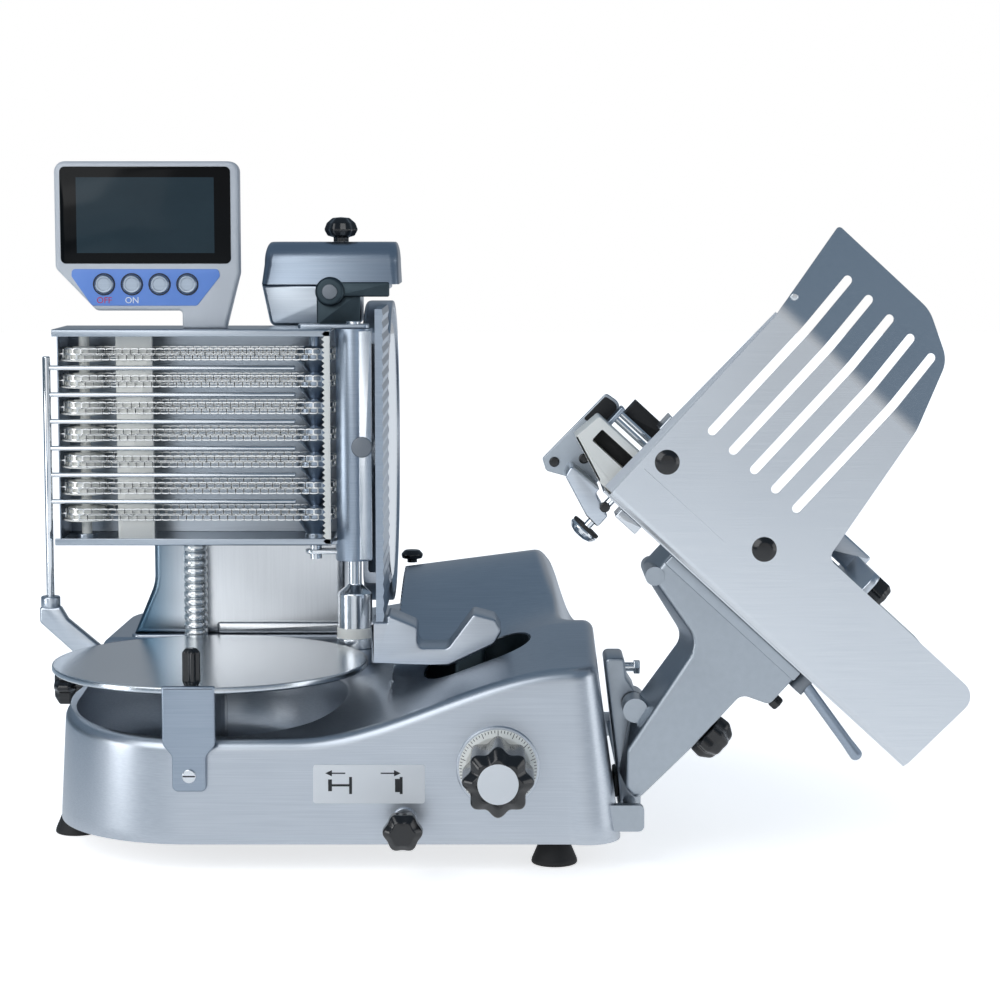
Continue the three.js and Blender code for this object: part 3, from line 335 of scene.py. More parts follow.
# %% Graphs and finishes
class Graph:
    """The nodes of a finish or of the studio, and the ways to add to them."""

    def __init__(self, tree):
        self.tree = tree

    def node(self, kind, settings=None, inputs=None, output=0):
        """Adds a node, sets it up, fills or links its sockets, and returns one of its outputs."""
        made = self.tree.nodes.new(kind)
        for name, value in (settings or {}).items():
            if name == "stops":
                made.color_ramp.interpolation = "EASE"
                ramp = made.color_ramp.elements
                while len(ramp) < len(value):
                    ramp.new(1.0)
                for element, (position, color) in zip(ramp, value):
                    element.position = position
                    element.color = color + (1,)
            else:
                setattr(made, name, value)
        for name, value in (inputs or {}).items():
            self.feed(made.inputs[name], value)
        return Value(self, made.outputs[output])

    def feed(self, socket, value):
        """Links a value of the graph to a socket, or writes a constant on it."""
        if isinstance(value, Value):
            self.tree.links.new(value.socket, socket)
        else:
            socket.default_value = value

    def mix(self, factor, first, second, blend="MIX"):
        """The first colour where the factor is 0, the second where it is 1."""
        settings = {"data_type": "RGBA", "blend_type": blend}
        return self.node("ShaderNodeMix", settings, {0: factor, 6: first, 7: second}, output=2)

    def part(self, vector, axis):
        """One coordinate of a vector."""
        return self.node("ShaderNodeSeparateXYZ", {}, {0: vector}, output=axis)

    def fade(self, value, low, high):
        """0 below low, 1 above high, and a smooth step between them."""
        settings = {"interpolation_type": "SMOOTHSTEP"}
        return self.node("ShaderNodeMapRange", settings, {0: value, 1: low, 2: high})


class Paint(Graph):
    """One material, the record's slot that it belongs to, and the sockets of its shader."""

    def __init__(self, name, slot, **constants):
        self.material = bpy.data.materials.new(name)
        self.material.use_nodes = True
        super().__init__(self.material.node_tree)
        self.slot = slot
        self.shader = self.tree.nodes["Principled BSDF"]
        for socket, value in constants.items():
            self.set(socket.replace("_", " "), value)

    def set(self, socket, value):
        """Gives one socket of the shader a constant or a value of the graph."""
        self.feed(self.shader.inputs[socket], value)

    def place(self):
        """Where a point lies on the object, in metres of the frame."""
        return self.node("ShaderNodeTexCoord", output="Object")

    def noise(self, scale, stretch=(1, 1, 1), detail=3.0):
        """Cloudy noise from 0 to 1, drawn out along the axes with a small stretch."""
        spot = self.node("ShaderNodeMapping", {}, {"Vector": self.place(), "Scale": stretch})
        settings = {"noise_dimensions": "3D"}
        return self.node("ShaderNodeTexNoise", settings, {"Vector": spot, "Scale": scale, "Detail": detail})

    def dent(self, height, strength, distance):
        """Bump that follows a height."""
        bump = self.node("ShaderNodeBump", {}, {"Height": height, "Strength": strength, "Distance": distance})
        self.set("Normal", bump)


def shade(red, green, blue):
    """A colour from sRGB values of 0 to 255, as light."""
    parts = [value / 255 for value in (red, green, blue)]
    return tuple(p / 12.92 if p <= 0.04045 else ((p + 0.055) / 1.055) ** 2.4 for p in parts) + (1.0,)


print("a middle grey is", round(shade(128, 128, 128)[0], 3))

# %% [markdown]
# Metal is known by what it mirrors. The castings are blasted and then brushed: a soft mirror, with long fine
# streaks that vary its roughness, and faint clouds from the casting itself. The streaks are noise squeezed
# across the brush, so one function serves castings, sheet and turned steel with other numbers.

# %% Metals
# Painted shade: the blue grey that a sweep mixes into a metal's colour at one side, standing in for the dark
# room it mirrors.
SHADED_EDGE = shade(96, 126, 146)


def metal(name, slot, dark, light, rough, streak, dent=0.06, spread=0.1, painted_shade_sweep=None):
    """Brushed metal: squeezed noise moves the roughness and the colour, clouds move the roughness slowly. A
    painted shade sweep darkens the colour from one x of the drawing to another, a painted reflection."""
    paint = Paint(name, slot, Metallic=1.0)
    lines = paint.noise(60, streak, 4.0)
    clouds = paint.noise(9, detail=2.0)
    grain = paint.noise(1500, detail=1.0)
    color = paint.mix(0.7 * lines + 0.3 * clouds, shade(*dark), shade(*light))
    if painted_shade_sweep:
        start, end = (in_frame(value, 0, 0)[0] for value in painted_shade_sweep)
        lit = paint.fade(paint.part(paint.place(), "X"), start, end)
        color = paint.mix(lit, SHADED_EDGE, color)
    paint.set("Base Color", color)
    paint.set("Roughness", rough - spread / 2 + spread * (0.6 * lines + 0.4 * clouds))
    paint.dent(0.8 * lines + 0.2 * grain, dent, 0.0004)
    return paint


ALONG_X, LENGTHWISE, EVEN = (0.2, 6, 14), (0.2, 10, 14), (1, 1, 1)
CASTING = metal("satin casting", "cast_aluminium", (171, 178, 187), (209, 214, 220), 0.33, ALONG_X)
ARM = metal("dull casting", "cast_aluminium", (164, 171, 178), (182, 189, 196), 0.36, (2, 2, 2), 0.02)
COVERS = metal("satin cover", "cast_aluminium", (186, 194, 203), (216, 221, 227), 0.3, (0.3, 8, 8))
# The tower sheet has painted shade: its colour darkens to the blue grey towards its left edge, a painted
# reflection.
TOWER = metal("tower sheet", "cast_aluminium", (218, 219, 220), (238, 239, 240), 0.3, (8, 8, 0.3),
              painted_shade_sweep=(-425, -345))
SHEET = metal("brushed sheet", "steel", (200, 205, 211), (228, 231, 234), 0.24, LENGTHWISE, 0.04)
# Partly a rougher finish, partly painted shade: a darker copy of the brushed sheet, darkened where its flat
# faces mirror a dark room.
SHADED_SHEET = metal("shaded sheet", "steel", (138, 150, 165), (176, 186, 197), 0.3, LENGTHWISE, 0.04)
# Painted light: a lighter copy of the shaded sheet, lightened against the shade inside the conveyor channel.
LIGHTENED_SHEET = metal("lightened sheet", "steel", (166, 175, 185), (200, 207, 214), 0.3, LENGTHWISE, 0.04)
# Painted shade: a dark copy of the casting, for the wall of the gauge slot, the stem in it and the
# sharpener's arm.
SHADED_CASTING = metal("shaded casting", "cast_aluminium", (58, 70, 76), (84, 96, 102), 0.5, EVEN)
PLATTER = metal("brushed platter", "steel", (196, 203, 210), (232, 235, 238), 0.22, (0.15, 26, 4), 0.05)
WIRE = metal("bright wire", "steel", (232, 232, 229), (250, 250, 248), 0.28, (2, 2, 2), 0.03)
TURNED = metal("turned steel", "steel", (205, 209, 213), (236, 238, 240), 0.17, (2, 2, 30), 0.03)
MIRROR = metal("polished chrome", "chrome", (224, 227, 230), (240, 242, 244), 0.08, (3, 3, 3), 0.0, 0.04)
INNER = metal("painted steel", "dark_metal", (120, 125, 131), (142, 147, 153), 0.45, EVEN)
print("metals made")

# %% [markdown]
# Mouldings have no streaks. Black knobs are glossy under fine scuffs, rubber is dull and dusty, and the pale
# wheels and strips are a slightly yellowed nylon with a soft surface.

# %% Mouldings
def moulding(name, slot, dark, light, rough, grain, dent, coat=0.0):
    """Plastic or rubber: clouds move the colour, fine grain moves roughness and bump."""
    paint = Paint(name, slot, Coat_Weight=coat)
    clouds = paint.noise(25)
    fine = paint.noise(grain, detail=2.0)
    paint.set("Base Color", paint.mix(clouds, shade(*dark), shade(*light)))
    paint.set("Roughness", rough - 0.04 + 0.08 * (0.5 * clouds + 0.5 * fine))
    paint.dent(fine, dent, 0.0003)
    return paint


BLACK = moulding("glossy black", "black_plastic", (12, 12, 13), (24, 24, 26), 0.22, 900, 0.04, coat=0.3)
RUBBER = moulding("black rubber", "rubber", (20, 20, 21), (38, 38, 39), 0.62, 1400, 0.25)
NYLON = moulding("pale nylon", "cream_plastic", (240, 239, 231), (251, 250, 245), 0.42, 700, 0.08)
GREY = moulding("grey lacquer", "dark_metal", (196, 200, 206), (212, 216, 221), 0.3, 1200, 0.06)
BLUE = moulding("blue foil", "blue_panel", (100, 142, 222), (114, 155, 230), 0.38, 1600, 0.05)
PRINT = moulding("black print", "black_plastic", (24, 25, 28), (34, 35, 38), 0.5, 900, 0.02)
CARD = moulding("white label", "cream_plastic", (236, 238, 240), (246, 247, 248), 0.35, 900, 0.02)
print("mouldings made")

# %% [markdown]
# The world is a studio. The camera sees a white wall, but the metal mirrors a room: bright straight ahead,
# dim at the left, with a dark blue grey ceiling that gives the upward faces their cool tone. It depends only
# on the direction of a ray, so mirrors show it as it is.

# %% Studio walls
world = bpy.data.worlds.new("studio")
bpy.context.scene.world = world
world.use_nodes = True
studio = Graph(world.node_tree)
direction = studio.node("ShaderNodeTexCoord", output="Generated")


def room_ramp(axis, low, high, *stops):
    """Colours over one part of the direction, from low to high."""
    span = studio.node("ShaderNodeMapRange", {}, {0: studio.part(direction, axis), 1: low, 2: high})
    return studio.node("ShaderNodeValToRGB", {"stops": stops}, {0: span})


BLACK_LIGHT, WHITE_LIGHT = (0.0, 0.0, 0.0), (1.0, 1.0, 1.0)
walls = room_ramp("X", -1, 1, (0.0, (0.1, 0.14, 0.18)), (0.3, (0.2, 0.25, 0.3)), (0.46, (0.58, 0.595, 0.615)),
                  (0.6, (0.66, 0.67, 0.685)), (0.8, (0.34, 0.38, 0.43)), (1.0, (0.26, 0.3, 0.34)))
behind = room_ramp("Y", 0, 0.6, (0.0, WHITE_LIGHT), (1.0, (0.6, 0.62, 0.64)))
above = room_ramp("Z", 0.08, 0.5, (0.0, BLACK_LIGHT), (1.0, WHITE_LIGHT))
room = studio.mix(above, studio.mix(1.0, walls, behind, "MULTIPLY"), (0.17, 0.23, 0.3, 1))
straight = studio.node("ShaderNodeLightPath", output="Is Camera Ray")
background = world.node_tree.nodes["Background"]
studio.feed(background.inputs["Color"], studio.mix(straight, room, WHITE_LIGHT + (1,)))
bpy.context.scene.view_settings.view_transform = "Standard"
print("nodes of the studio:", len(world.node_tree.nodes))

# %% [markdown]
# Four soft lamps do the rest: a large key lamp at the upper left, a fill from the right, a faint one from
# the front, and a small low one that draws a bright band on the round corner of the base.

# %% Lamps
def lamp(name, place, aim, size, power):
    """A square soft lamp at a place of the drawing that looks at a point of it."""
    data = bpy.data.lights.new(name, "AREA")
    data.size = size
    data.energy = power
    obj = bpy.data.objects.new(name, data)
    bpy.context.scene.collection.objects.link(obj)
    start, end = Vector(in_frame(*place)), Vector(in_frame(*aim))
    obj.location = start
    obj.rotation_euler = (end - start).to_track_quat("-Z", "Y").to_euler()
    print("lamp", name, "of", power, "W")


lamp("key", (-1400, -1900, 1700), (-100, 0, 300), 2.0, 26)
lamp("fill", (2300, -500, 500), (100, 0, 300), 1.4, 8)
lamp("front", (-800, -2700, 700), (-300, 100, 400), 1.0, 2.6)
lamp("strip", (-1700, -750, 250), (-400, -120, 100), 0.5, 3)

# %% [markdown]
# The floor is a wide white sheet that takes the soft shadows of the feet and the base. It is not part of the
# machine. Seen straight it has a little glow of its own, which makes it as white as the wall, and less of it
# in a mirror.

# %% Floor
FLOOR_REACH, FLOOR_HEIGHT = 12.0, -0.0005
floor_mesh = bpy.data.meshes.new("floor")
floor_corners = np.array([[-1, -1], [1, -1], [1, 1], [-1, 1]]) * FLOOR_REACH
floor_points = np.pad(floor_corners, ((0, 0), (0, 1)), constant_values=FLOOR_HEIGHT)
floor_mesh.from_pydata(floor_points.tolist(), [], [[0, 1, 2, 3]])
floor = bpy.data.objects.new("floor", floor_mesh)
bpy.context.scene.collection.objects.link(floor)
white = Paint("studio floor", None, Roughness=0.9, Emission_Strength=1.0)
white.set("Base Color", white.mix(white.noise(3), shade(250, 250, 250), shade(254, 254, 254)))
seen_ray, through_ray, mirror_ray = (white.node("ShaderNodeLightPath", output=kind) for kind in
                                     ("Is Camera Ray", "Is Transmission Ray", "Is Glossy Ray"))
away = white.node("ShaderNodeVectorMath", {"operation": "LENGTH"}, {0: white.place()}, output="Value")
glow = white.mix(white.fade(away, 0.32, 0.8), (0.66, 0.66, 0.66, 1), (1, 1, 1, 1))
seen = white.mix(seen_ray + through_ray, (0, 0, 0, 1), glow)
bright = white.fade(white.part(white.place(), "X"), -1.6, 0.2)
mirrored = white.mix(bright, (0.02, 0.04, 0.06, 1), (0.5, 0.5, 0.5, 1))
white.set("Emission Color", white.mix(mirror_ray, seen, mirrored))
floor_mesh.materials.append(white.material)
print("floor laid")

# %% [markdown]
# Each finished shape becomes one object. Its doubled points are merged, which closes seams and poles, its
# faces are turned outward, and edges sharper than a set angle stay sharp under smooth shading.

# %% Making an object
def bare(name, shape):
    """An object in the scene from a shape in millimetres of the drawing."""
    points, faces = shape
    mesh = bpy.data.meshes.new(name)
    mesh.from_pydata((np.asarray(points).reshape(-1, 3) * MM + SHIFT).tolist(), [], faces)
    work = bmesh.new()
    work.from_mesh(mesh)
    bmesh.ops.remove_doubles(work, verts=work.verts, dist=2e-6)
    bmesh.ops.recalc_face_normals(work, faces=work.faces)
    work.to_mesh(mesh)
    work.free()
    obj = bpy.data.objects.new(name, mesh)
    bpy.context.scene.collection.objects.link(obj)
    return obj


def crisped(mesh, angle):
    """Smooth shading, with edges sharper than an angle in degrees kept sharp."""
    mesh.shade_smooth()
    mesh.set_sharp_from_angle(angle=math.radians(angle))


def make(name, shape, paint, body, *nodes, crisp=35):
    """One finished piece from a shape, riding on a body and standing for solids."""
    obj = bare(name, shape)
    crisped(obj.data, crisp)
    obj.data.materials.append(paint.material)
    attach(obj, body)
    if nodes:
        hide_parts(*nodes)
    return obj


def dress(paint, *nodes):
    """Keeps solids as they are and gives them a finish."""
    for node in nodes:
        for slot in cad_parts[node].material_slots:
            slot.material = paint.material


# %% [markdown]
# ## The base
# The base is one casting: a low rounded bowl on the left, a shoulder that rises to the right, and a hump at
# the back over the carriage drive. Its top is a height over each spot, described by smooth steps of x and y.

# %% Height of the casting
BASE_LEFT, BASE_RIGHT, BASE_FRONT, BASE_BACK = -483.0, 104.0, -165.0, 420.0
FOOT_HEIGHT, RIM, SHOULDER, HUMP_TOP, HUMP_X = 30.0, 140.0, 214.0, 288.0, 52.0
WELL_RADIUS, WELL_FLOOR = 151.0, 72.0


def smooth(low, high, value):
    """0 below low, 1 above high, and 3 t t - 2 t t t between them."""
    t = np.clip((value - low) / (high - low), 0, 1)
    return t * t * (3 - 2 * t)


def lesser(first, second, reach):
    """The smaller of two heights, with the corner between them rounded over a reach."""
    near = np.clip(1 - np.abs(first - second) / reach, 0, 1)
    return np.minimum(first, second) - near * near * reach / 4


def base_top(x, y):
    """Rim and shoulder rise to the back, the right end falls behind, and planes bound the hump on top."""
    climb = np.clip((y - BASE_FRONT) / 300, 0, 1)
    rim = RIM + 28 * np.minimum(climb, 0.75)
    left = rim + (190 - rim) * smooth(165, 198, y)
    right = SHOULDER + 16 * climb
    across = smooth(-215, 80, x)
    crown = 14 * across ** 3 * np.clip((y - BASE_FRONT) / 175, 0, 1)
    plain_top = left + (right - left) * across + crown
    ground = plain_top + (180 - plain_top) * smooth(20, 130, y) * smooth(60, 86, x)
    crest = HUMP_TOP - 22 * (HUMP_X - x) / 168 - 20 * np.clip((y - 262) / 146, 0, 1)
    hump = lesser(crest, SHOULDER + (y - 60) * 74 / 155, 44)
    hump = lesser(hump, HUMP_TOP - (x - HUMP_X) * 3, 40)
    hump = lesser(hump, 150 + 20 * (x + 120.3), 14)
    hump = lesser(hump, 150 + 6 * (BASE_BACK - 11 - y), 20)
    return -lesser(-ground, -hump, 26)


print("height over the middle of the hump:", round(float(base_top(0, 300)), 1))

# %% [markdown]
# The skin is made of rings. They start under the base, climb the slanted wall, go round the top edge, run
# over the top towards the round well, and end in the middle of its floor. Each point of the outline walks
# straight to the point of the well that it sees first, so the rings never cross.

# %% Skin of the casting
TOP_EDGE, BRIM_EDGE = 12, 3


def spaced(line, count):
    """A closed line cut into equal lengths."""
    closed = np.concatenate([line, line[:1]])
    length = np.concatenate([[0], np.cumsum(np.linalg.norm(np.diff(closed, axis=0), axis=1))])
    at = np.linspace(0, length[-1], count, endpoint=False)
    return np.stack([np.interp(at, length, closed[:, axis]) for axis in (0, 1)], axis=-1)


def base_skin(count=480, steps=130):
    """Outline moved in or out along its normal, with a height for each ring."""
    corners = [(BASE_LEFT, BASE_FRONT, 150), (BASE_RIGHT, BASE_FRONT, 28),
               (BASE_RIGHT, BASE_BACK, 45), (-462, BASE_BACK, 60)]
    outline = spaced(eased(corners, steps=24), count)
    normal = outward(outline)
    normal = normal / np.linalg.norm(normal, axis=1)[:, None]
    centre = np.array([PLATTER_X, 0.0])
    spread = (6 + 18 * np.maximum(0, normal[:, :1])) * normal

    def ring(place, height):
        return np.concatenate([place, np.broadcast_to(height, (count, 1))], axis=1)

    foot = outline + spread
    rings = [ring(0 * outline + centre, FOOT_HEIGHT + 5)]
    for inset, rise in ((5, 5), (5, 0), (1.5, 0), (0.3, 0.4)):
        rings.append(ring(foot - inset * normal, FOOT_HEIGHT + rise))
    wall_foot = FOOT_HEIGHT + 1.5
    shoulder = base_top(*outline.T)[:, None] - TOP_EDGE
    for share in np.linspace(0, 1, 12) ** 0.9:
        rings.append(ring(outline + spread * (1 - share), wall_foot + (shoulder - wall_foot) * share))
    for angle in np.radians([15, 30, 45, 60, 75, 90]):
        place = outline - TOP_EDGE * (1 - math.cos(angle)) * normal
        rings.append(ring(place, base_top(*place.T)[:, None] - TOP_EDGE * (1 - math.sin(angle))))
    inner = outline - TOP_EDGE * normal
    seen = inner - centre
    seen = seen / np.linalg.norm(seen, axis=1)[:, None]
    brim = centre + (WELL_RADIUS + BRIM_EDGE) * seen
    for share in np.linspace(0, 1, steps)[1:]:
        place = inner * (1 - share) + brim * share
        rings.append(ring(place, base_top(*place.T)[:, None]))
    lip = base_top(*brim.T)[:, None]
    for angle in np.radians([30, 60, 90]):
        place = brim - BRIM_EDGE * math.sin(angle) * seen
        rings.append(ring(place, lip - BRIM_EDGE * (1 - math.cos(angle))))
    well = ((WELL_RADIUS, 130), (WELL_RADIUS - 2, 98), (138, 80), (118, WELL_FLOOR), (0, WELL_FLOOR))
    for radius, height in well:
        rings.append(ring(centre + radius * seen, np.minimum(height, lip - 4)))
    return np.stack(rings), ring_faces(len(rings), count)


casting = make("base_casting", base_skin(), CASTING, "base", "base_housing", crisp=48)
print("faces of the casting:", len(casting.data.polygons))

# %% [markdown]
# The gauge bracket stands in an oval slot. A cutter of that outline is taken out of the skin, which is
# simpler than bending the rings round it.

# %% Gauge slot
def trimmed(obj, shape, operation="DIFFERENCE"):
    """Keeps or removes the room that a shape shares with an object."""
    tool = bare("tool", shape)
    boolean = obj.modifiers.new("trim", "BOOLEAN")
    boolean.object, boolean.operation, boolean.solver = tool, operation, "EXACT"
    result = bpy.data.meshes.new_from_object(obj.evaluated_get(bpy.context.evaluated_depsgraph_get()))
    obj.modifiers.clear()
    obj.data = result
    bpy.data.objects.remove(tool)
    crisped(result, 40)


SLOT = (-84.0, -62.0, 34.0, 20.0)
SLOT_FLOOR = 148
trimmed(casting, plate(rectangle(*SLOT, 40), SLOT_FLOOR, 320, 0.5, top_view))
print("faces with the slot:", len(casting.data.polygons))


def slot_shaded_wall():
    """Far wall of the slot: its outline behind the middle, carried from the floor up to the casting's top."""
    near, far = np.array(SLOT[:2]), np.array(SLOT[2:])
    outer = eased(rectangle(*(near + 0.2), *(far - 0.2), 39.8), steps=16)
    middle = (near + far) / 2
    outer = outer[outer[:, 1] > middle[1]]
    outer = outer[np.argsort(outer[:, 0])]
    inner = middle + (outer - middle) * (1 - 2 / (far - middle))
    top = base_top(*outer.T)[:, None] - 1.5
    bottom = np.full_like(top, SLOT_FLOOR + 0.5)
    pairs = (outer, bottom), (outer, top), (inner, top), (inner, bottom)
    rows = [np.concatenate(pair, axis=1) for pair in pairs]
    last = 4 * (len(outer) - 1)
    return np.stack(rows, axis=1), ring_faces(len(outer), 4) + [[3, 2, 1, 0], [last + i for i in range(4)]]


# The slot's wall is painted dark with the shaded casting: painted shade in the slot.
make("slot_shaded_wall", slot_shaded_wall(), SHADED_CASTING, "base")

# %% [markdown]
# Bosses are cast on wherever something stands on the base: under the tower, the post, the conduit and the
# elbow, behind the dial, the knobs and the platter bracket.

# %% Bosses and feet
SPINDLE_Y, POST_X, COMB_Y = 140.0, -168.0, 113.0
CONDUIT_AT = (-358, 188, 0)
FRONT_LEFT_SHIFT = 11
bosses = together(
    plate(rectangle(-437, 200, -181, 339.5, 10), 178, 192.7, 1.5, top_view),
    boss(23, 165, 188, "z", (POST_X, SPINDLE_Y, 0)),
    boss(16.5, 165, 193, "z", CONDUIT_AT),
    boss(9, 140, 168, "z", (-462, COMB_Y, 0)),
    boss(44, -150, -170.7, "y", (-2, 0, 112)),
    hoop([(8.8, -155), (13, -155), (13, -173, 1.5), (8.8, -173, 0.5)], "y", (-100, 0, 57), 64),
    boss(16, -460, -484, "x", (0, 150, 142)),
    brick(-339, -311, -169.5, -155, 92, 118),
)
make("casting_bosses", bosses, CASTING, "base")
foot_profile = [(0, 0), (25, 0, 2), (24, 5, 4), (15.5, 25, 8), (15, 29.7, 1), (0, 29.7)]
for corner in ("front_left", "front_right", "rear_left", "rear_right"):
    shift = FRONT_LEFT_SHIFT if corner == "front_left" else 0
    foot = spun(foot_profile, "z", axle("foot_" + corner, "z") - (shift, 0, 0))
    make("rubber_foot_" + corner, foot, RUBBER, "base", "foot_" + corner)
dress(INNER, "bottom_cover", "carriage_motor")
dress(ARM, "guide_rod")
print("base is dressed")

# %% [markdown]
# ## The platter
# The slices fall on a round steel plate. Its rim is notched at the front, where a bent bracket with a slotted
# screw holds it. The notch is one more limit on the radius: no point may lie further forward than its edge.

# %% Platter
NOTCH_X, NOTCH_HALF, NOTCH_DEPTH = -5, 25, 7


def platter():
    """Rings of a disc: each is a share of the outer limit plus an inset, and the notch sets that limit."""
    left, right = edges("slice_platter")[:2]
    low, high = edges("slice_platter")[4:]
    radius = (right - left) / 2
    angle = np.linspace(0, 2 * np.pi, 480, endpoint=False)
    in_notch = (np.abs(radius * np.cos(angle) - NOTCH_X) < NOTCH_HALF) & (np.sin(angle) < 0)
    limit = np.where(in_notch, (radius - NOTCH_DEPTH) / np.maximum(-np.sin(angle), 0.5), radius)
    rows = [(0, 0, low), (0.5, 0, low), (1, -4, low), (1, -1.2, low + 1), (1, 0, low + 2.5),
            (1, 0, high - 1.5), (1, -0.4, high - 0.4), (1, -1.5, high), (0.97, 0, high), (0.5, 0, high),
            (0, 0, high)]
    share, inset, height = (np.array(column, float)[:, None] for column in zip(*rows))
    reach = share * limit + inset
    points = [PLATTER_X + reach * np.cos(angle), reach * np.sin(angle), height + 0 * reach]
    return np.stack(points, axis=-1), ring_faces(*reach.shape)


disc = make("platter_disc", platter(), PLATTER, "base", "slice_platter")
dress(TURNED, "platter_post")
print("faces of the platter:", len(disc.data.polygons))

# %% Platter bracket and grip
left, right, front, back, low, high = edges("platter_bracket")
middle = (left + right) / 2
wide, narrow, waist, neck = (right - left) / 2 + 4, 18.0, 125, 137
half = [(narrow, low - 8, 6), (narrow, waist, 8), (wide, neck, 12), (wide, high, 2)]
right_half, left_half = ([(middle + sign * x, z, radius) for x, z, radius in half] for sign in (1, -1))
bracket = plate([left_half[0], *right_half, *left_half[:0:-1]], front, front + 6, 3, steps=5)
shelf = brick(middle - narrow, middle + narrow, front + 3, back, high - 12.8, high - 9.8, 0.6)
make("bracket_plate", together(bracket, shelf), SHADED_SHEET, "base", "platter_bracket")
screw_z = low + 9
make("bracket_screw", boss(7.5, 0, -2.2, "y", (middle, front, screw_z), 1.32, 40), TURNED, "base")
# The screw's slot is painted shade: a thin black bar laid on the head where the real slot lies in shade.
slot_shade_bar = brick(middle - 6.5, middle + 6.5, front - 2.35, front - 1.5, screw_z - 0.8, screw_z + 0.8, 0.2)
make("bracket_screw_slot_shade", slot_shade_bar, PRINT, "base")
low, high = edges("platter_grip")[4:]
grip_profile = [(0, low), (8, low), (10, low + 4, 2), (10, high - 4, 3), (6, high, 3), (0, high)]
grip = spun(grip_profile, "z", (-324, -154, 0), 120, lobes=5, dip=3)
make("grip_body", grip, BLACK, "base", "platter_grip")
print("height of the grip:", round(high - low, 1))

# %% [markdown]
# ## The tower and the conduit
# The tower is a plain casting with wide rounded edges and one flared side, so an outline with a large edge
# radius gives it. The conduit is a hose of bent metal strip: its radius swings once for each turn of strip.

# %% Tower
left, right, front, back, low, high = edges("blade_tower")
TOWER_TOP, TOWER_LEFT = 500.0, -409
tower = plate([(left, low), (right, low), (right, TOWER_TOP, 12), (TOWER_LEFT, TOWER_TOP, 12),
               (TOWER_LEFT, low + 60, 50)], 205, back - 0.5, 9, steps=6)
pedestal = brick(-268, -192, 225, 315, 480, high, 5)
lip = brick(-335, right - 4, front, 210, low + 1, low + 15, 4)
make("tower_body", together(tower, pedestal, lip), TOWER, "base", "blade_tower", crisp=45)
dress(INNER, "tower_rear_cover", "blade_motor")
dress(RUBBER, "drive_belt")
print("height of the tower:", round(high - low, 1))

# %% Conduit
low, high = edges("cable_conduit")[4:]
RIBS = 13
along = np.linspace(low, high, RIBS * 10 + 1)
swing = 12.2 + 1.8 * np.abs(np.sin(np.pi * RIBS * (along - low) / (high - low))) ** 0.7
profile = [(10, low), *zip(swing, along), (10, high)]
hose = turned(profile, "z", CONDUIT_AT, 48, closed=True)
make("conduit_hose", hose, WIRE, "base", "cable_conduit", crisp=60)
print("ribs of the conduit:", RIBS)

# %% [markdown]
# ## The conveyor
# A channel of folded sheet carries seven endless chains. It is one profile, a C with short lips, carried
# along x. The toothed strip on its right edge combs the slices off the chains.

# %% Conveyor frame
left, right, front, back = edges("conveyor_frame")[:4]
CHANNEL_LOW, CHANNEL_HIGH, CHANNEL_RIGHT = 313.6, 558.7, -191.5
SHEET_WALL, LIP = 3.0, 8.0
DRUM_X, IDLER_X = -213.0, -477.0
inside, rear = front + SHEET_WALL, back - SHEET_WALL
channel = plate([
    (front, CHANNEL_LOW, 2), (back, CHANNEL_LOW, 4), (back, CHANNEL_HIGH, 4), (front, CHANNEL_HIGH, 2),
    (front, CHANNEL_HIGH - LIP, 0.6), (inside, CHANNEL_HIGH - LIP, 0.6),
    (inside, CHANNEL_HIGH - SHEET_WALL, 0.5), (rear, CHANNEL_HIGH - SHEET_WALL, 1),
    (rear, CHANNEL_LOW + SHEET_WALL, 1), (inside, CHANNEL_LOW + SHEET_WALL, 0.5),
    (inside, CHANNEL_LOW + LIP, 0.6), (front, CHANNEL_LOW + LIP, 0.6),
], left, CHANNEL_RIGHT, 0.4, side_view)
tab_outline = rectangle(DRUM_X - 18, SPINDLE_Y - 13, POST_X + 18, SPINDLE_Y + 13, 6)
tabs = [plate(tab_outline, z, z + 4.5, 0.8, top_view) for z in (CHANNEL_LOW - 4, CHANNEL_HIGH - 0.5)]
bushes = [boss(12, start, end, "z", (x, SPINDLE_Y, 0), 1)
          for x in (DRUM_X, IDLER_X)
          for start, end in ((CHANNEL_LOW + 1, CHANNEL_LOW + LIP), (CHANNEL_HIGH - 1, CHANNEL_HIGH - LIP))]
# The channel takes the lightened sheet: painted light inside its shaded hollow.
make("conveyor_channel", together(channel, *tabs, *bushes), LIGHTENED_SHEET, "base", "conveyor_frame")

STRIP_LEFT, STRIP_RIGHT, STRIP_TEETH, TOOTH_DEPTH = -201.0, CHANNEL_RIGHT - 0.2, 40, 3.2
heights = np.linspace(CHANNEL_LOW + 2, CHANNEL_HIGH - 2, 2 * STRIP_TEETH + 1)
saw = [(STRIP_LEFT + (0 if index % 2 else TOOTH_DEPTH), height) for index, height in enumerate(heights)]
strip = plate([(STRIP_RIGHT, CHANNEL_LOW + 1), *saw, (STRIP_RIGHT, CHANNEL_HIGH - 1)], front, inside, 0.3)
make("tooth_strip", strip, NYLON, "base")
end_wall = brick(left, left + 1.5, SPINDLE_Y - 20, back - 1, CHANNEL_LOW + 2, CHANNEL_HIGH - 2, 0.5)
make("channel_end", end_wall, SHADED_SHEET, "base")
link_outline = rectangle(DRUM_X - 12, SPINDLE_Y - 11, POST_X, SPINDLE_Y + 11, 10)
link = together(plate(link_outline, 298, 303, 1, top_view),
                boss(7, 292, CHANNEL_LOW - 3, "z", (DRUM_X, SPINDLE_Y, 0), 1.5))
make("drum_link", link, TURNED, "base")
print("teeth on the strip:", STRIP_TEETH)

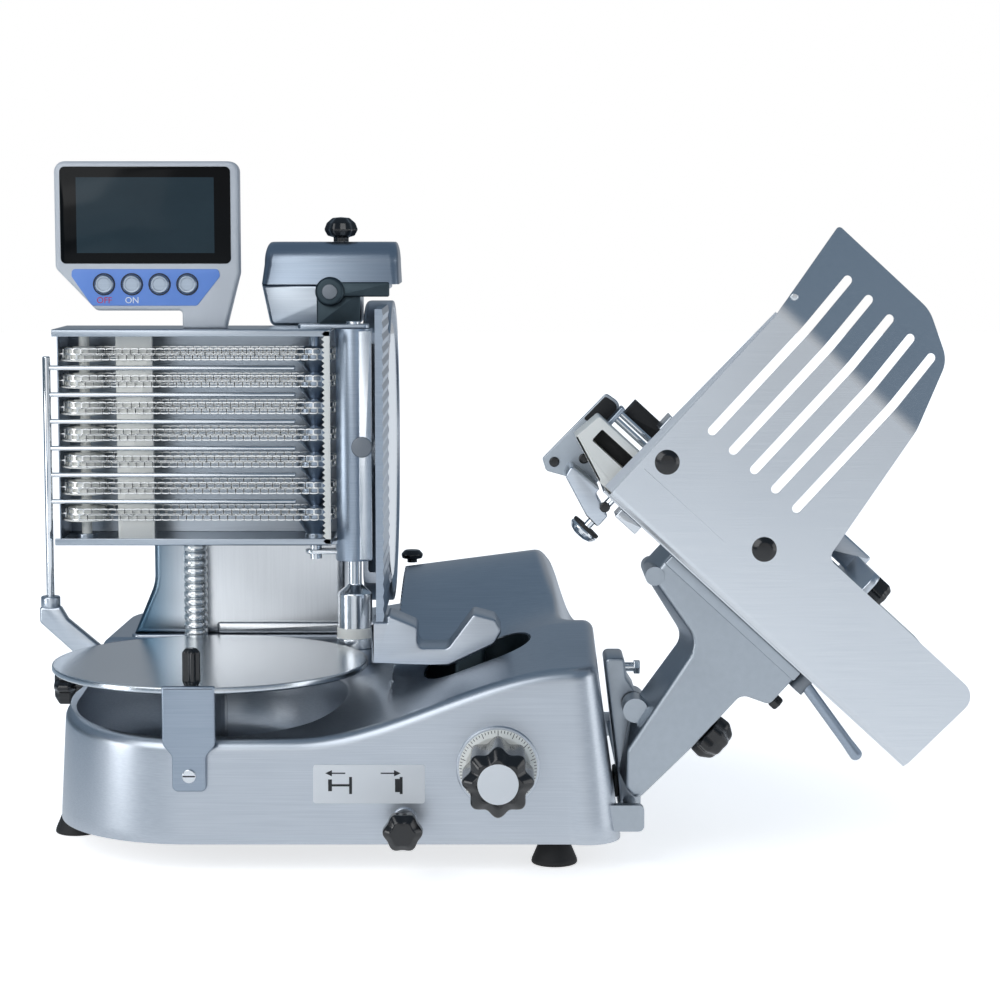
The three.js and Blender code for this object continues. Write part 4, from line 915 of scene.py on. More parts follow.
# %% [markdown]
# Each chain is knitted wire: two rows of flat loops, the upper one half a loop further on, with a spike on
# every third. One loop is a squared circle of wire with twelve stations of four corners. All loops of a
# chain are laid along the same closed path at once, so no loop is placed by hand.

# %% Chain path
CHAIN_RADIUS = 24.0
RUN = DRUM_X - IDLER_X
CHAIN_LENGTH = 2 * RUN + 2 * np.pi * CHAIN_RADIUS


def on_path(s, out):
    """A point s along the loop of two runs and two half circles, moved out by a distance, as x and y."""
    s = np.mod(s, CHAIN_LENGTH)
    half = np.pi * CHAIN_RADIUS
    after_front = np.clip(s - RUN, 0, half)
    after_back = np.clip(s - 2 * RUN - half, 0, half)
    angle = -np.pi / 2 + (after_front + after_back) / CHAIN_RADIUS
    along = np.clip(s, 0, RUN) - np.clip(s - RUN - half, 0, RUN)
    reach = CHAIN_RADIUS + out
    return IDLER_X + along + reach * np.cos(angle), SPINDLE_Y + reach * np.sin(angle)


print("length of a chain in mm:", round(CHAIN_LENGTH, 1))

# %% Wire loops and spikes
LOOPS, STATIONS, WIRE_RADIUS = 72, 12, 0.95
LOOP_ACROSS, LOOP_UP, LOOP_LIFT, SQUARENESS = 4.9, 3.1, 3.2, 0.55
SPIKE_HALF, SPIKE_LENGTH = 1.3, 5.2


def copies(faces, points, count):
    """The faces of one shape repeated for a count of copies with so many points each."""
    faces = np.array(faces)
    return (faces[None] + points * np.arange(count)[:, None, None]).reshape(-1, faces.shape[1]).tolist()


def chain(z):
    """Squared circles of wire laid along the path, and four-sided spikes on every third loop."""
    pitch = CHAIN_LENGTH / LOOPS
    start = np.concatenate([np.arange(LOOPS), np.arange(LOOPS) + 0.5]) * pitch
    lift = np.repeat([-LOOP_LIFT, LOOP_LIFT], LOOPS)[:, None, None]
    t = np.linspace(0, 2 * np.pi, STATIONS, endpoint=False)
    corner = np.linspace(0, 2 * np.pi, 4, endpoint=False) + np.pi / 4
    cosine, sine = np.cos(t)[None, :, None], np.sin(t)[None, :, None]
    across = LOOP_ACROSS * np.sign(cosine) * np.abs(cosine) ** SQUARENESS
    up = LOOP_UP * np.sign(sine) * np.abs(sine) ** SQUARENESS
    s = start[:, None, None] + across + WIRE_RADIUS * cosine * np.cos(corner)
    height = z + lift + up + WIRE_RADIUS * sine * np.cos(corner)
    points = np.stack([*on_path(s, WIRE_RADIUS * np.sin(corner) + 0 * s), height], axis=-1)
    faces = copies(ring_faces(STATIONS, 4, closed=True), 4 * STATIONS, 2 * LOOPS)
    place = start[:LOOPS:3, None] + np.array([-1, 1, 1, -1, 0]) * SPIKE_HALF
    tip = np.array([0, 0, 0, 0, SPIKE_LENGTH]) + 0 * place
    level = z + np.array([-1, -1, 1, 1, 0]) * SPIKE_HALF + 0 * place
    spikes = np.stack([*on_path(place, tip), level], axis=-1)
    sides = copies([[0, 1, 4], [1, 2, 4], [2, 3, 4], [3, 0, 4]], 5, len(place))
    return together((points, faces), (spikes, sides + copies([[3, 2, 1, 0]], 5, len(place))))


ROWS = 7
row_heights = [sum(edges(f"chain_{row + 1}")[4:]) / 2 for row in range(ROWS)]
for row, z in enumerate(row_heights):
    make(f"wire_chain_{row + 1}", chain(z), WIRE, "base", f"chain_{row + 1}")
print("wire loops:", 2 * LOOPS * ROWS)

# %% [markdown]
# The chains run over flanged nylon wheels on the left and a steel drum on the right. Both are spindles with
# one wheel for each chain, so one profile is repeated up the height. A pale strip keeps the chains apart from
# the sheet behind them.

# %% Wheels, drum and guide strip
TREAD, FLANGE, SPINDLE_RADIUS = 21.4, 27, 6


def spool(node, x, flange=0):
    """A spindle whose profile steps out to a tread, and to a flange below it, at each chain."""
    low, high = edges(node)[4:]
    profile = [(0, low), (SPINDLE_RADIUS, low)]
    for z in row_heights:
        under, over = z - 6.8, z + 6.5
        if flange:
            profile += [(SPINDLE_RADIUS, under - 1.6, 0.5), (flange, under - 1.6, 0.5), (flange, under, 0.5)]
        profile += [(TREAD, under, 0.3), (TREAD, over, 1), (13, over, 1), (12, z + 8, 1),
                    (SPINDLE_RADIUS, z + 8, 0.5)]
    return spun(profile + [(SPINDLE_RADIUS, high), (0, high)], "z", (x, SPINDLE_Y, 0), 64, steps=3)


make("nylon_wheels", spool("idler_rollers", IDLER_X, FLANGE), NYLON, "idler", "idler_rollers")
make("steel_drum", spool("drive_drum", DRUM_X), SHADED_SHEET, "drum", "drive_drum")
make("guide_strip", brick(*edges("chain_guide_plate"), 1.2), NYLON, "base", "chain_guide_plate")
print("chains one above the other, in mm:", round(row_heights[1] - row_heights[0], 1))

# %% [markdown]
# The eject comb is an upright rod with six prongs that lie between the chains. It swings out and lays the
# slice on the platter. Its elbow is a small casting bolted to the edge of the base.

# %% Eject comb
left, right, front, back, low, high = edges("eject_comb")
ROD_RADIUS, PRONG_RADIUS = 4.5, 2.8
COMB_X = left + ROD_RADIUS
COMB_AT = (COMB_X, COMB_Y, 0)
rod = spun([(0, low), (ROD_RADIUS, low, 0.6), (ROD_RADIUS, high, 1.5), (0, high)], "z", COMB_AT, 40)
prong_heights = [(a + b) / 2 for a, b in zip(row_heights, row_heights[1:])]
prongs = [boss(PRONG_RADIUS, COMB_X, right, "x", (0, COMB_Y, z), 2, 24) for z in prong_heights]
make("comb_rods", together(rod, *prongs), MIRROR, "comb", "eject_comb")
left, right, front, back, low, high = edges("comb_arm")
FOOT_X, COLLAR = right - 8, 12.0
collar_low = high - 12.5
elbow = plate([
    (FOOT_X - 12, low), (FOOT_X + 8, low), (FOOT_X + 8, low + 22, 6), (COMB_X + COLLAR + 8, high - 26, 8),
    (COMB_X + COLLAR, high - 12, 3), (COMB_X - COLLAR, high - 12, 3), (COMB_X - COLLAR, high - 30, 6),
    (FOOT_X - 26, low + 17, 8),
], front, back, 3)
collar = hoop([(4.8, collar_low), (11, collar_low, 1), (11, high, 2), (4.8, high, 0.5)],
              "z", COMB_AT, 48, steps=3)
make("comb_elbow", together(elbow, collar), COVERS, "base", "comb_arm")
print("prongs of the comb:", len(prongs))

# %% [markdown]
# The post drives the drum. It is turned steel with a pale seal ring at its foot. The deflector before it is
# a half pipe of sheet: an outline of two arcs, seen from above and carried up.

# %% Post and deflector
low, high = edges("drive_post")[4:]
POST_AT = (POST_X, SPINDLE_Y, 0)
post = [(0, low), (22, low, 0.8), (22, low + 12, 1.2), (20, low + 12, 0.5), (20, 252, 3), (8, 262, 3),
        (8, high, 1), (0, high)]
make("post_shaft", spun(post, "z", POST_AT), TURNED, "base", "drive_post")
seal = hoop([(19.5, 199.5), (21, 199.5, 0.8), (21, 212, 0.8), (19.5, 212)], "z", POST_AT)
make("post_seal", seal, NYLON, "base")
front = edges("slice_deflector")[2]
low, high = edges("slice_deflector")[4:]
DEFLECTOR_RADIUS = SPINDLE_Y - front
reach = math.acos(14 / DEFLECTOR_RADIUS)
angle = -np.pi / 2 + np.linspace(-reach, reach, 41)
circle = np.stack([np.cos(angle), np.sin(angle)], axis=-1)
arcs = np.concatenate([DEFLECTOR_RADIUS * circle, (DEFLECTOR_RADIUS - 2) * circle[::-1]])
half_pipe = plate([(POST_X + x, SPINDLE_Y + y) for x, y in arcs], low, high, 0.4, top_view)
blocks = [hoop([(8.6, start), (22, start, 1), (22, end, 1), (8.6, end)], "z", POST_AT)
          for start, end in ((low, CHANNEL_LOW - 4.3), (541, high))]
make("deflector_sheet", together(half_pipe, *blocks), SHADED_SHEET, "base", "slice_deflector")
make("deflector_edge", brick(-161, -146.5, front - 0.5, front + 10, low + 2, high - 2, 1), SHEET, "base")
button = boss(12, front + 1.5, front - 2, "y", (POST_X + 10, 0, 423), 1.2, 40)
make("deflector_button", button, INNER, "base")
print("radius of the deflector:", round(DEFLECTOR_RADIUS, 1))

# %% [markdown]
# ## The display
# The housing is a grey lacquered plate with a neck. Black glass lies in it, with the dark screen behind the
# glass, and a blue foil with four steel buttons below.

# %% Screen glass
left, right, front, back, low, high = edges("display_screen")
MARGIN_X, MARGIN_Z = 18.5, 12.0
GLASS = Paint("touch glass", "screen_glass", Specular_IOR_Level=0.12)
across, upward = (GLASS.part(GLASS.place(), axis) for axis in "XZ")
near_left, far_right = (in_frame(x, 0, 0)[0] for x in (left + MARGIN_X, right - MARGIN_X))
lit = (across > near_left) * (across < far_right)
lit = lit * (upward > (low + MARGIN_Z) * MM) * (upward < (high - MARGIN_Z) * MM)
smears = GLASS.noise(14, (1, 1, 2.5), 4.0)
panel = GLASS.mix(smears, shade(40, 54, 62), shade(48, 64, 72))
GLASS.set("Base Color", GLASS.mix(lit, shade(9, 11, 13), panel))
GLASS.set("Roughness", 0.06 + 0.08 * smears)
pane = plate(rectangle(left, low, right, high, 6), front, back, 0.6)
make("glass_pane", pane, GLASS, "base", "display_screen")
print("width of the glass:", round(right - left, 1))

# %% Display housing
left, right, front, back, low, high = edges("display_housing")
NECK_LEFT, NECK_RIGHT, NECK_TOP = -360, -311, 579
housing = plate([
    (left, high, 12), (left, 627, 10), (left + 46, NECK_TOP, 8), (NECK_LEFT, NECK_TOP, 4), (NECK_LEFT, low),
    (NECK_RIGHT, low), (right, 621, 12), (right, high, 12),
], front, back, 4.0)
display = make("display_body", housing, GREY, "base", "display_housing")
left, right, front, back, low, high = edges("button_panel")
PANEL_FRONT, FOIL_BEND = front, 618
foil = plate([
    (-462, low, 5), (-343, low, 5), (right, FOIL_BEND, 5), (right - 2, high, 4), (left + 1, high, 4),
    (left, FOIL_BEND, 5),
], front, back, 0.5)
make("key_foil", foil, BLUE, "base", "button_panel")
print("width of the foil:", round(right - left, 1))

# %% [markdown]
# Each button is a turned cap in a dark ring. It must move alone when pressed, so it is a piece of its own and
# rides on its own body. Two of them say what they do.

# %% Push buttons
def words(name, text, size, at, paint, body, depth=0.3):
    """Text laid on an upright face: made flat, turned to a mesh, then put in place in the mesh itself."""
    curve = bpy.data.curves.new(name, "FONT")
    curve.body = text
    curve.size = size
    curve.align_x, curve.align_y = "CENTER", "CENTER"
    curve.extrude = depth / 2
    curve.resolution_u = 3
    flat = bpy.data.objects.new(name + "_flat", curve)
    bpy.context.scene.collection.objects.link(flat)
    bpy.context.view_layer.update()
    mesh = bpy.data.meshes.new_from_object(flat.evaluated_get(bpy.context.evaluated_depsgraph_get()))
    bpy.data.objects.remove(flat)
    flat_points = np.zeros(len(mesh.vertices) * 3)
    mesh.vertices.foreach_get("co", flat_points)
    x, y, z = flat_points.reshape(-1, 3).T
    faces = [list(polygon.vertices) for polygon in mesh.polygons]
    points = np.stack([x, -z, y], axis=-1) + np.array(at, float)
    make(name, (points, faces), paint, body, crisp=20)


RIM_BACK, RIM_FRONT, HOLE_FRONT = 107.5, 106.4, 100
button_xs = []
for number in range(1, 5):
    left, right, front, back = edges(f"push_button_{number}")[:4]
    radius, at = (right - left) / 2, axle(f"push_button_{number}", "y")
    face = [(0, back), (radius, back), (radius, front + 1.2, 0.6), (radius - 1.6, front, 0.6),
            (radius - 3.4, front + 0.1, 0.2), (radius - 3.8, front + 0.5, 0.2), (0, front + 0.3)]
    make(f"button_cap_{number}", spun(face, "y", at), SHADED_SHEET, f"push_button_{number}", f"push_button_{number}")
    hole, floor_y = radius + 0.4, back + 3
    trimmed(display, turned([(0, HOLE_FRONT), (hole, HOLE_FRONT), (hole, floor_y), (0, floor_y)], "y", at))
    rim = [(radius + 0.5, RIM_BACK), (radius + 1.9, RIM_BACK), (radius + 1.9, RIM_FRONT, 0.5),
           (radius + 0.5, RIM_FRONT)]
    make(f"button_rim_{number}", hoop(rim, "y", at), PRINT, "base")
    button_xs.append(at[0])
RED = moulding("red print", "cream_plastic", (190, 40, 70), (205, 52, 84), 0.4, 900, 0.02)
for name, text, x, paint in (("print_off", "OFF", button_xs[0], RED), ("print_on", "ON", button_xs[1], CARD)):
    words(name, text, 10, (x, PANEL_FRONT - 0.05, 590.5), paint, "base")
print("buttons at", [round(x, 1) for x in button_xs])

# %% [markdown]
# ## The sharpener
# A cast housing carries the grinding arm, and a loaf-shaped cover sits on it. The cover is a stack of rounded
# rectangles that draw in towards the top, the front and the back more than the sides.

# %% Sharpener housing
left = edges("sharpener_housing")[0]
low, high = edges("sharpener_housing")[4:]
LOAF_FRONT, LOAF_BACK, LOAF_RIGHT = 200.0, 300.0, -164.0
BOSS_X, BOSS_Z, ARM_END = -198, 598.0, -129
lower = plate([(left + 10, low, 8), (LOAF_RIGHT, low, 6), (LOAF_RIGHT, high), (left, high)],
              LOAF_FRONT, LOAF_BACK, 4)
make("sharpener_body", lower, LIGHTENED_SHEET, "base", "sharpener_housing")
# The boss, the arm and a leg plate on the housing's front take the dark shaded casting: painted shade on that
# part of the housing.
round_boss = boss(17, LOAF_FRONT + 1, LOAF_FRONT - 14, "y", (BOSS_X, 0, BOSS_Z), 4)
arm = brick(-190, ARM_END, LOAF_FRONT - 10, LOAF_FRONT + 0.5, BOSS_Z - 6, BOSS_Z + 11, 2)
leg = brick(-214, LOAF_RIGHT + 1, LOAF_FRONT - 3, LOAF_FRONT + 2, low + 1, BOSS_Z, 2)
make("sharpener_arm", together(round_boss, arm, leg), SHADED_CASTING, "base")
flange_left = ARM_END - 13
flange = plate([(flange_left, 600, 2), (ARM_END, 600, 2), (ARM_END, high + 4, 1), (flange_left, high + 4, 1)],
               LOAF_FRONT + 1, LOAF_BACK - 20, 2)
make("sharpener_flange", flange, COVERS, "base")
make("sharpener_button", boss(9, 187, 184.6, "y", (BOSS_X, 0, BOSS_Z), 1, 72), INNER, "base")
print("height of the housing:", round(high - low, 1))

# %% Sharpener cover and knob
def lofted(rows):
    """Rounded rectangles (height, left, right, front, back, corner radius) joined from the lowest up."""
    rings = []
    for z, x0, x1, y0, y1, radius in rows:
        line = eased(rectangle(x0, y0, x1, y1, radius))
        rings.append(np.concatenate([line, np.full((len(line), 1), z)], axis=1))
    size = len(rings), len(rings[0])
    return np.concatenate(rings), ring_faces(*size) + end_faces(*size)


left, right, front, back, low, high = edges("sharpener_cover")
LID = 26
foot = (left, right, front, back)
rows = [(low, *foot, 8), (low + 0.8, *foot, 8)]
for a in np.radians(np.linspace(0, 90, 9)):
    drawn = 1 - math.cos(a)
    rows.append((high - LID + LID * math.sin(a), left + 2 + 7 * drawn, right - 1 - 5 * drawn,
                 front + 13 + 24 * drawn, back - 1 - 24 * drawn, 10 + 6 * drawn))
make("sharpener_loaf", lofted(rows), SHADED_SHEET, "base", "sharpener_cover", crisp=50)
low, high = edges("sharpener_knob")[4:]
knob = spun([(0, low), (9, low), (9, low + 5, 1), (16, low + 7, 3), (20, low + 14, 4), (17, low + 22, 4),
             (10, high - 1, 3), (0, high)],
            "z", axle("sharpener_knob", "z"), 120, lobes=6, dip=3)
make("sharpener_grip", knob, BLACK, "sharpener_knob", "sharpener_knob")
print("rings of the cover:", len(rows))

# %% [markdown]
# ## Blade, ring guard and gauge plate
# The blade is a ground disc behind its ring guard. The gauge plate before it is ribbed across, so that meat
# slides on it, and its edge is cut round to clear the blade. These two keep their solids and get a finish.
# The guard's pan and the gauge bracket are castings and get rounded edges.

# %% Blade side
dress(MIRROR, "blade")
dress(TURNED, "blade_shaft")
BLADE_Y, BLADE_Z = 275.0, 405.0
PAN_RADIUS, PAN_BACK, PAN_RIM = 180, -160, -127
pan = hoop([(42, -154), (PAN_RADIUS - 10, -154, 3), (PAN_RADIUS - 10, PAN_RIM, 1), (PAN_RADIUS, PAN_RIM, 2),
            (PAN_RADIUS, PAN_BACK, 6), (42, PAN_BACK)], "x", (0, BLADE_Y, BLADE_Z), 160, steps=4)
guard_pan = make("ring_pan", pan, CASTING, "base", "ring_guard")
trimmed(guard_pan, plate(rectangle(-200, 200, -100, 620, 3), 60, 170, 0.01))
dress(SHADED_SHEET, "gauge_plate")
left, right, front, back, low, high = edges("gauge_bracket")
PLATE_LOW, HOOK_WALL, HOOK_FLOOR = edges("gauge_plate")[4], -123, 217.5
hook = plate([
    (left, 200.5, 2), (-56, 198, 10), (-6, 222, 10), (right, 236, 7), (-5, 249, 7), (-29, high, 5),
    (-57, HOOK_FLOOR, 8), (-90, HOOK_FLOOR, 8), (-90, 241, 6), (HOOK_WALL, PLATE_LOW + 9, 3),
    (HOOK_WALL, PLATE_LOW - 0.3, 0.2), (left, PLATE_LOW - 0.3, 0.2),
], front, back, 2.5)
make("gauge_hook", hook, CASTING, "gauge", "gauge_bracket")
# The stem stands in the slot and takes the shaded casting: painted shade.
stem = plate(rectangle(-50, -26, -16, 2, 6), low, 225, 1, top_view)
make("gauge_stem", stem, SHADED_CASTING, "gauge")
print("faces of the ring guard:", len(guard_pan.data.polygons))

# %% [markdown]
# ## Knobs on the base
# The thickness knob turns with its dial, a pale ring with a mark for each step. The marks are thin bars laid
# round the bevel of the ring, and each fifth one is long.

# %% Dial
left, right, front, back = edges("thickness_dial")[:4]
DIAL_RADIUS, DIAL_BEVEL, DIAL_STEPS, DIAL_SWEEP = (right - left) / 2, 7, 60, 300
DIAL_AT = axle("thickness_dial", "y")
bevel_back = back - 2
dial = [(0, back), (DIAL_RADIUS, back), (DIAL_RADIUS, bevel_back, 0.6),
        (DIAL_RADIUS - DIAL_BEVEL, front, 0.8), (0, front)]
make("dial_ring", spun(dial, "y", DIAL_AT, 96), NYLON, "thickness", "thickness_dial")


def dial_marks():
    """Bars on the bevel: each lies between two radii at its angle, raised a hair along the bevel's normal."""
    step = np.arange(DIAL_STEPS)[:, None]
    angle = np.radians(90 + step * DIAL_SWEEP / DIAL_STEPS - DIAL_SWEEP / 2)
    inner = np.where(step % 5 == 0, 0.2, 0.55)
    share = np.concatenate([0 * inner + 0.92, 0 * inner + 0.92, inner, inner], axis=1)
    side = np.array([-1, 1, 1, -1]) * 0.35
    radius = DIAL_RADIUS - DIAL_BEVEL + DIAL_BEVEL * share
    depth = front + (bevel_back - front) * share - 0.12
    x = DIAL_AT[0] + radius * np.cos(angle) - side * np.sin(angle)
    z = DIAL_AT[2] + radius * np.sin(angle) + side * np.cos(angle)
    top = np.stack([x, depth, z], axis=-1).reshape(-1, 3)
    quad = 4 * step
    count = len(top)
    faces = (quad + np.arange(4)).tolist() + (quad + np.arange(4)[::-1] + count).tolist()
    for a, b in ((0, 1), (1, 2), (2, 3), (3, 0)):
        faces += np.concatenate([quad + b, quad + a, quad + a + count, quad + b + count], axis=1).tolist()
    return np.concatenate([top, top + np.array([0, 0.3, 0])]), faces


make("dial_marks", dial_marks(), PRINT, "thickness")
print("marks on the dial:", DIAL_STEPS)

# %% Knobs
front, back = edges("thickness_knob")[2:4]
grip_line = [(0, back), (34, back, 1), (37, back - 8, 3), (37, front + 9, 5), (25, front, 4),
             (22, front + 0.8, 0.4), (0, front + 0.8)]
grip = spun(grip_line, "y", DIAL_AT, 192, lobes=8, dip=6)
make("knob_grip", grip, BLACK, "thickness", "thickness_knob")
make("knob_disc", boss(21, front + 1.2, front + 0.2, "y", DIAL_AT, 0.4, 72), CARD, "thickness")
front, back = edges("mode_knob")[2:4]
mode_line = [(0, back), (8, back), (8, front + 24, 1), (16, front + 24, 2), (21, front + 19, 4),
             (20.5, front + 7, 3), (13, front + 1, 4), (0, front)]
mode = spun(mode_line, "y", axle("mode_knob", "y"), 120, lobes=6, dip=2.5)
make("mode_grip", mode, BLACK, "mode_knob", "mode_knob")
left, right = edges("side_knob")[:2]
SIDE_REACH = 10.0
inner, outer = right - SIDE_REACH, left - SIDE_REACH
side_line = [(0, right), (9, right), (9, inner), (14, inner), (24, inner - 5, 3), (24, outer + 6, 4),
             (15, outer, 4), (0, outer)]
side = spun(side_line, "x", axle("side_knob", "x"), 120, lobes=6, dip=7)
make("side_grip", side, BLACK, "side_knob", "side_knob")
print("length of the side knob:", round(right - outer, 1))

# %% [markdown]
# The label beside the mode knob shows its two positions: the carriage driven to the left by the motor, or
# moved by hand. It is a thin white plate with bars and arrowheads on it.

# %% Label
LABEL_FRONT, WALL_SLOPE, LABEL_MIDDLE = -168.9, 6 / 110, 94
INK_FRONT, INK_BACK, ARROW_Z = LABEL_FRONT - 0.15, LABEL_FRONT + 1, 105.9


def on_wall(shape):
    """Leans a flat shape back with the slant of the wall below it."""
    points, faces = shape
    points = np.array(points, float).reshape(-1, 3)
    points[:, 1] -= WALL_SLOPE * (LABEL_MIDDLE - points[:, 2])
    return points, faces


card = plate(rectangle(-195.7, 74, -78.6, 114.7, 3), LABEL_FRONT, LABEL_FRONT + 3, 0.2)
make("label_plate", on_wall(card), CARD, "base")
bars = [(-158, -155, 84, 102), (-176, -158, 92, 94.4), (-180, -176, 87, 99.4), (-105, -102, 84, 102),
        (-110, -105, 86, 100)]
signs = []
for sign, x in ((-1, -170.0), (1, -117.0)):
    signs.append(brick(x - 8, x + 8, INK_FRONT, INK_BACK, ARROW_Z - 0.7, ARROW_Z + 0.7, 0.1))
    head = [(x + sign * 13, ARROW_Z), (x + sign * 6, ARROW_Z + 3.3), (x + sign * 6, ARROW_Z - 3.3)]
    signs.append(plate(head, INK_FRONT, INK_BACK, 0.1))
signs += [brick(x0, x1, INK_FRONT, INK_BACK, z0, z1, 0.1) for x0, x1, z0, z1 in bars]
make("label_signs", on_wall(together(*signs)), PRINT, "base")
print("label signs:", len(signs))

# %% [markdown]
# ## The carriage
# The slide runs on the guide rod and carries the hinge pin. The arm tilts on that pin and carries the tray.
# Both are castings: outlines with rounded edges, the arm drawn level and then tilted.

# %% Slide
left, right, front, back, low, high = edges("carriage_slide")
SLIDE_FRONT, SCREW_AT = -76.0, (0, -55, 199)
slide_body = plate([
    (112, high, 6), (129, 68, 4), (129, low, 4), (right - 4, low, 4), (right - 4, 69, 4), (146, 76, 4),
    (146, 176, 8), (137, 190, 6), (134, high, 5),
], SLIDE_FRONT, back, 3)
ear = boss(13, SLIDE_FRONT, SLIDE_FRONT + 36, "y", (HINGE[0], 0, HINGE[2]))
pin = boss(6, front, SLIDE_FRONT + 1, "y", (HINGE[0], 0, HINGE[2]), 0, 40)
make("slide_bracket", together(slide_body, ear, pin), ARM, "slide", "carriage_slide")
stop_screw = together(boss(5, 134, 146, "x", SCREW_AT, 0, 32),
                      spun([(0, 145), (8, 145, 1), (8, 152, 1), (0, 152)], "x", SCREW_AT, 6))
make("stop_screw", stop_screw, TURNED, "slide")
bumper = plate(rectangle(123.5, 58, 128.9, 84, 2.5), -70, -18, 1.5)
make("rubber_bumper", bumper, RUBBER, "slide")
print("height of the slide:", round(high - low, 1))

# %% Arm
ARM_FRONT, ARM_BACK, ARM_TOP = -140.0, -80.0, 149.7
arm_right = [(64, -68, 8), (68, 13, 6), (68, 90, 12), (97, 102, 8), (97, ARM_TOP, 1)]
arm_front = [(-90, ARM_TOP, 1), (-87, 118, 16), (-3, 100, 26), (20, -38, 12), (46, -66, 10)] + arm_right
arm_back = [(-98, ARM_TOP, 1), (-98, 114, 14), (-13, 90, 18), (-3, 2, 14), (38, -66, 10)] + arm_right
arm_body = plate(arm_front, ARM_FRONT, ARM_BACK, 4.5, steps=5, behind=arm_back)
ridge = plate(rectangle(-88, 138, 97, ARM_TOP, 2), ARM_FRONT - 5, ARM_FRONT + 4, 1.5)
arm_boss = boss(13, ARM_FRONT + 20, ARM_BACK, "y", (0, 0, 0))
arm_shape = tilted(together(arm_body, arm_boss, ridge))
arm = make("arm_casting", arm_shape, ARM, "carriage", "carriage_arm", crisp=45)
lug = boss(10, ARM_FRONT - 2, ARM_BACK + 30, "y", (-86, 0, 121), 3)
make("arm_lug", tilted(lug), ARM, "carriage")
print("faces of the arm:", len(arm.data.polygons))

# %% [markdown]
# The guard plate takes the most skill: one sheet, bent back along a line, with slots that cross the bend.
# A strip with the bend in its profile is carried along the tray, cut to the outline seen from the front, and
# the slots are cut through it.

# %% Guard plate
FOLD, FOLD_ANGLE, PLATE_TOP, FOOT_FOLD = 417.0, math.radians(25), 521.0, 157
PLATE_FRONT, PLATE_BACK = -153.0, -150.0
SLOTS, SLOT_FIRST, SLOT_PITCH, SLOT_HALF = 5, -147, 30, 5
strip_top = PLATE_TOP + 8
lean = (strip_top - FOLD) * math.tan(FOLD_ANGLE)
corner = 3 * math.tan(FOLD_ANGLE / 2)
strip = [
    (PLATE_BACK + 5, 140), (PLATE_BACK + 5, 151, 2), (PLATE_BACK, FOOT_FOLD, 4), (PLATE_BACK, FOLD, 42),
    (PLATE_BACK + lean, strip_top), (PLATE_FRONT + lean - 0.3, strip_top), (PLATE_FRONT, FOLD + corner, 45),
    (PLATE_FRONT, FOOT_FOLD, 7), (PLATE_FRONT + 5, 150, 5), (PLATE_FRONT + 5, 140),
]
guard_outline = [
    (-180, 150, 4), (244, 150, 3), (249, 258, 18), (33, 258, 10), (9, FOLD, 6), (-12, 494, 30),
    (-60, PLATE_TOP, 40), (-191, PLATE_TOP, 4), (-182, FOLD, 6), (-180, FOLD - 14, 2),
]
sheet = tilted(plate(strip, -205, 262, 0.01, side_view))
guard = make("guard_sheet", sheet, SHEET, "carriage", "guard_plate", crisp=30)
trimmed(guard, tilted(plate(guard_outline, -190, -60, 0.01)), "INTERSECT")
for u in SLOT_FIRST + SLOT_PITCH * np.arange(SLOTS):
    slot = rectangle(u - SLOT_HALF, 269, u + SLOT_HALF, 489, SLOT_HALF - 0.01)
    trimmed(guard, tilted(plate(slot, -190, -40, 0.01)))
edge = guard.modifiers.new("edge", "BEVEL")
edge.width, edge.segments, edge.limit_method, edge.angle_limit = 0.0005, 2, "ANGLE", math.radians(50)
print("faces of the guard plate:", len(guard.data.polygons))

# %% [markdown]
# The left edge of the sheet is bent back in a lip that narrows to nothing at the top. Two black plugs close
# the holes of its screws.

# %% Bent lip, plugs and screws
LIP_U, LIP_LOW, LIP_HIGH = -180.5, 156, 408


def lip_section(width):
    """The sheet's left edge seen from above: bent back through a half right angle over a width."""
    return [(LIP_U + 1.3, PLATE_FRONT + 0.5), (LIP_U + 1.3, PLATE_BACK - 0.3), (LIP_U, PLATE_BACK),
            (LIP_U - width, PLATE_BACK + width), (LIP_U - 2 - width, PLATE_BACK + width - 2),
            (LIP_U - 1.5, PLATE_FRONT + 0.4, 1.5)]


lip = plate(lip_section(7), LIP_LOW, LIP_HIGH, 0.2, top_view, behind=lip_section(0.5))
make("guard_lip", tilted(lip), GREY, "carriage")
plug = [(0, PLATE_FRONT + 1), (13, PLATE_FRONT + 1), (13, PLATE_FRONT - 1.4, 1), (8, PLATE_FRONT - 4.5, 6),
        (0, PLATE_FRONT - 5)]
for number, (u, v) in enumerate(((-159.5, 218.1), (-22.7, 219.6)), start=1):
    make(f"guard_plug_{number}", tilted(spun(plug, "y", (u, 0, v))), BLACK, "carriage")
flap_screw = boss(4, -138, -149, "y", (-179, 0, 433), segments=24)
make("flap_screw", tilted(flap_screw), TURNED, "carriage")
crease = brick(-173, -60, PLATE_FRONT - 0.3, PLATE_FRONT + 0.3, 196, 197.2, 0.2)
make("guard_crease", tilted(crease), SHEET, "carriage")
print("length of the lip:", LIP_HIGH - LIP_LOW)

# %% Tray
TRAY_LEFT, TRAY_RIGHT, TRAY_BACK = -187.0, 244.0, 60.0
FLOOR, WALL_TOP, WALL_LEFT = 153.0, 257.0, TRAY_LEFT + 45
deck_outline = rectangle(TRAY_LEFT, PLATE_BACK + 0.3, TRAY_RIGHT, TRAY_BACK, 1)
deck = plate(deck_outline, FLOOR - 3, FLOOR, 0.6, top_view)
wall = plate([(WALL_LEFT, FLOOR - 3, 1), (TRAY_RIGHT, FLOOR - 3, 1), (TRAY_RIGHT, WALL_TOP, 40),
              (WALL_LEFT, WALL_TOP, 30)], TRAY_BACK - 3, TRAY_BACK, 0.6)
make("tray_sheet", tilted(together(deck, wall)), SHEET, "carriage", "carriage_tray")
print("length of the tray:", TRAY_RIGHT - TRAY_LEFT)

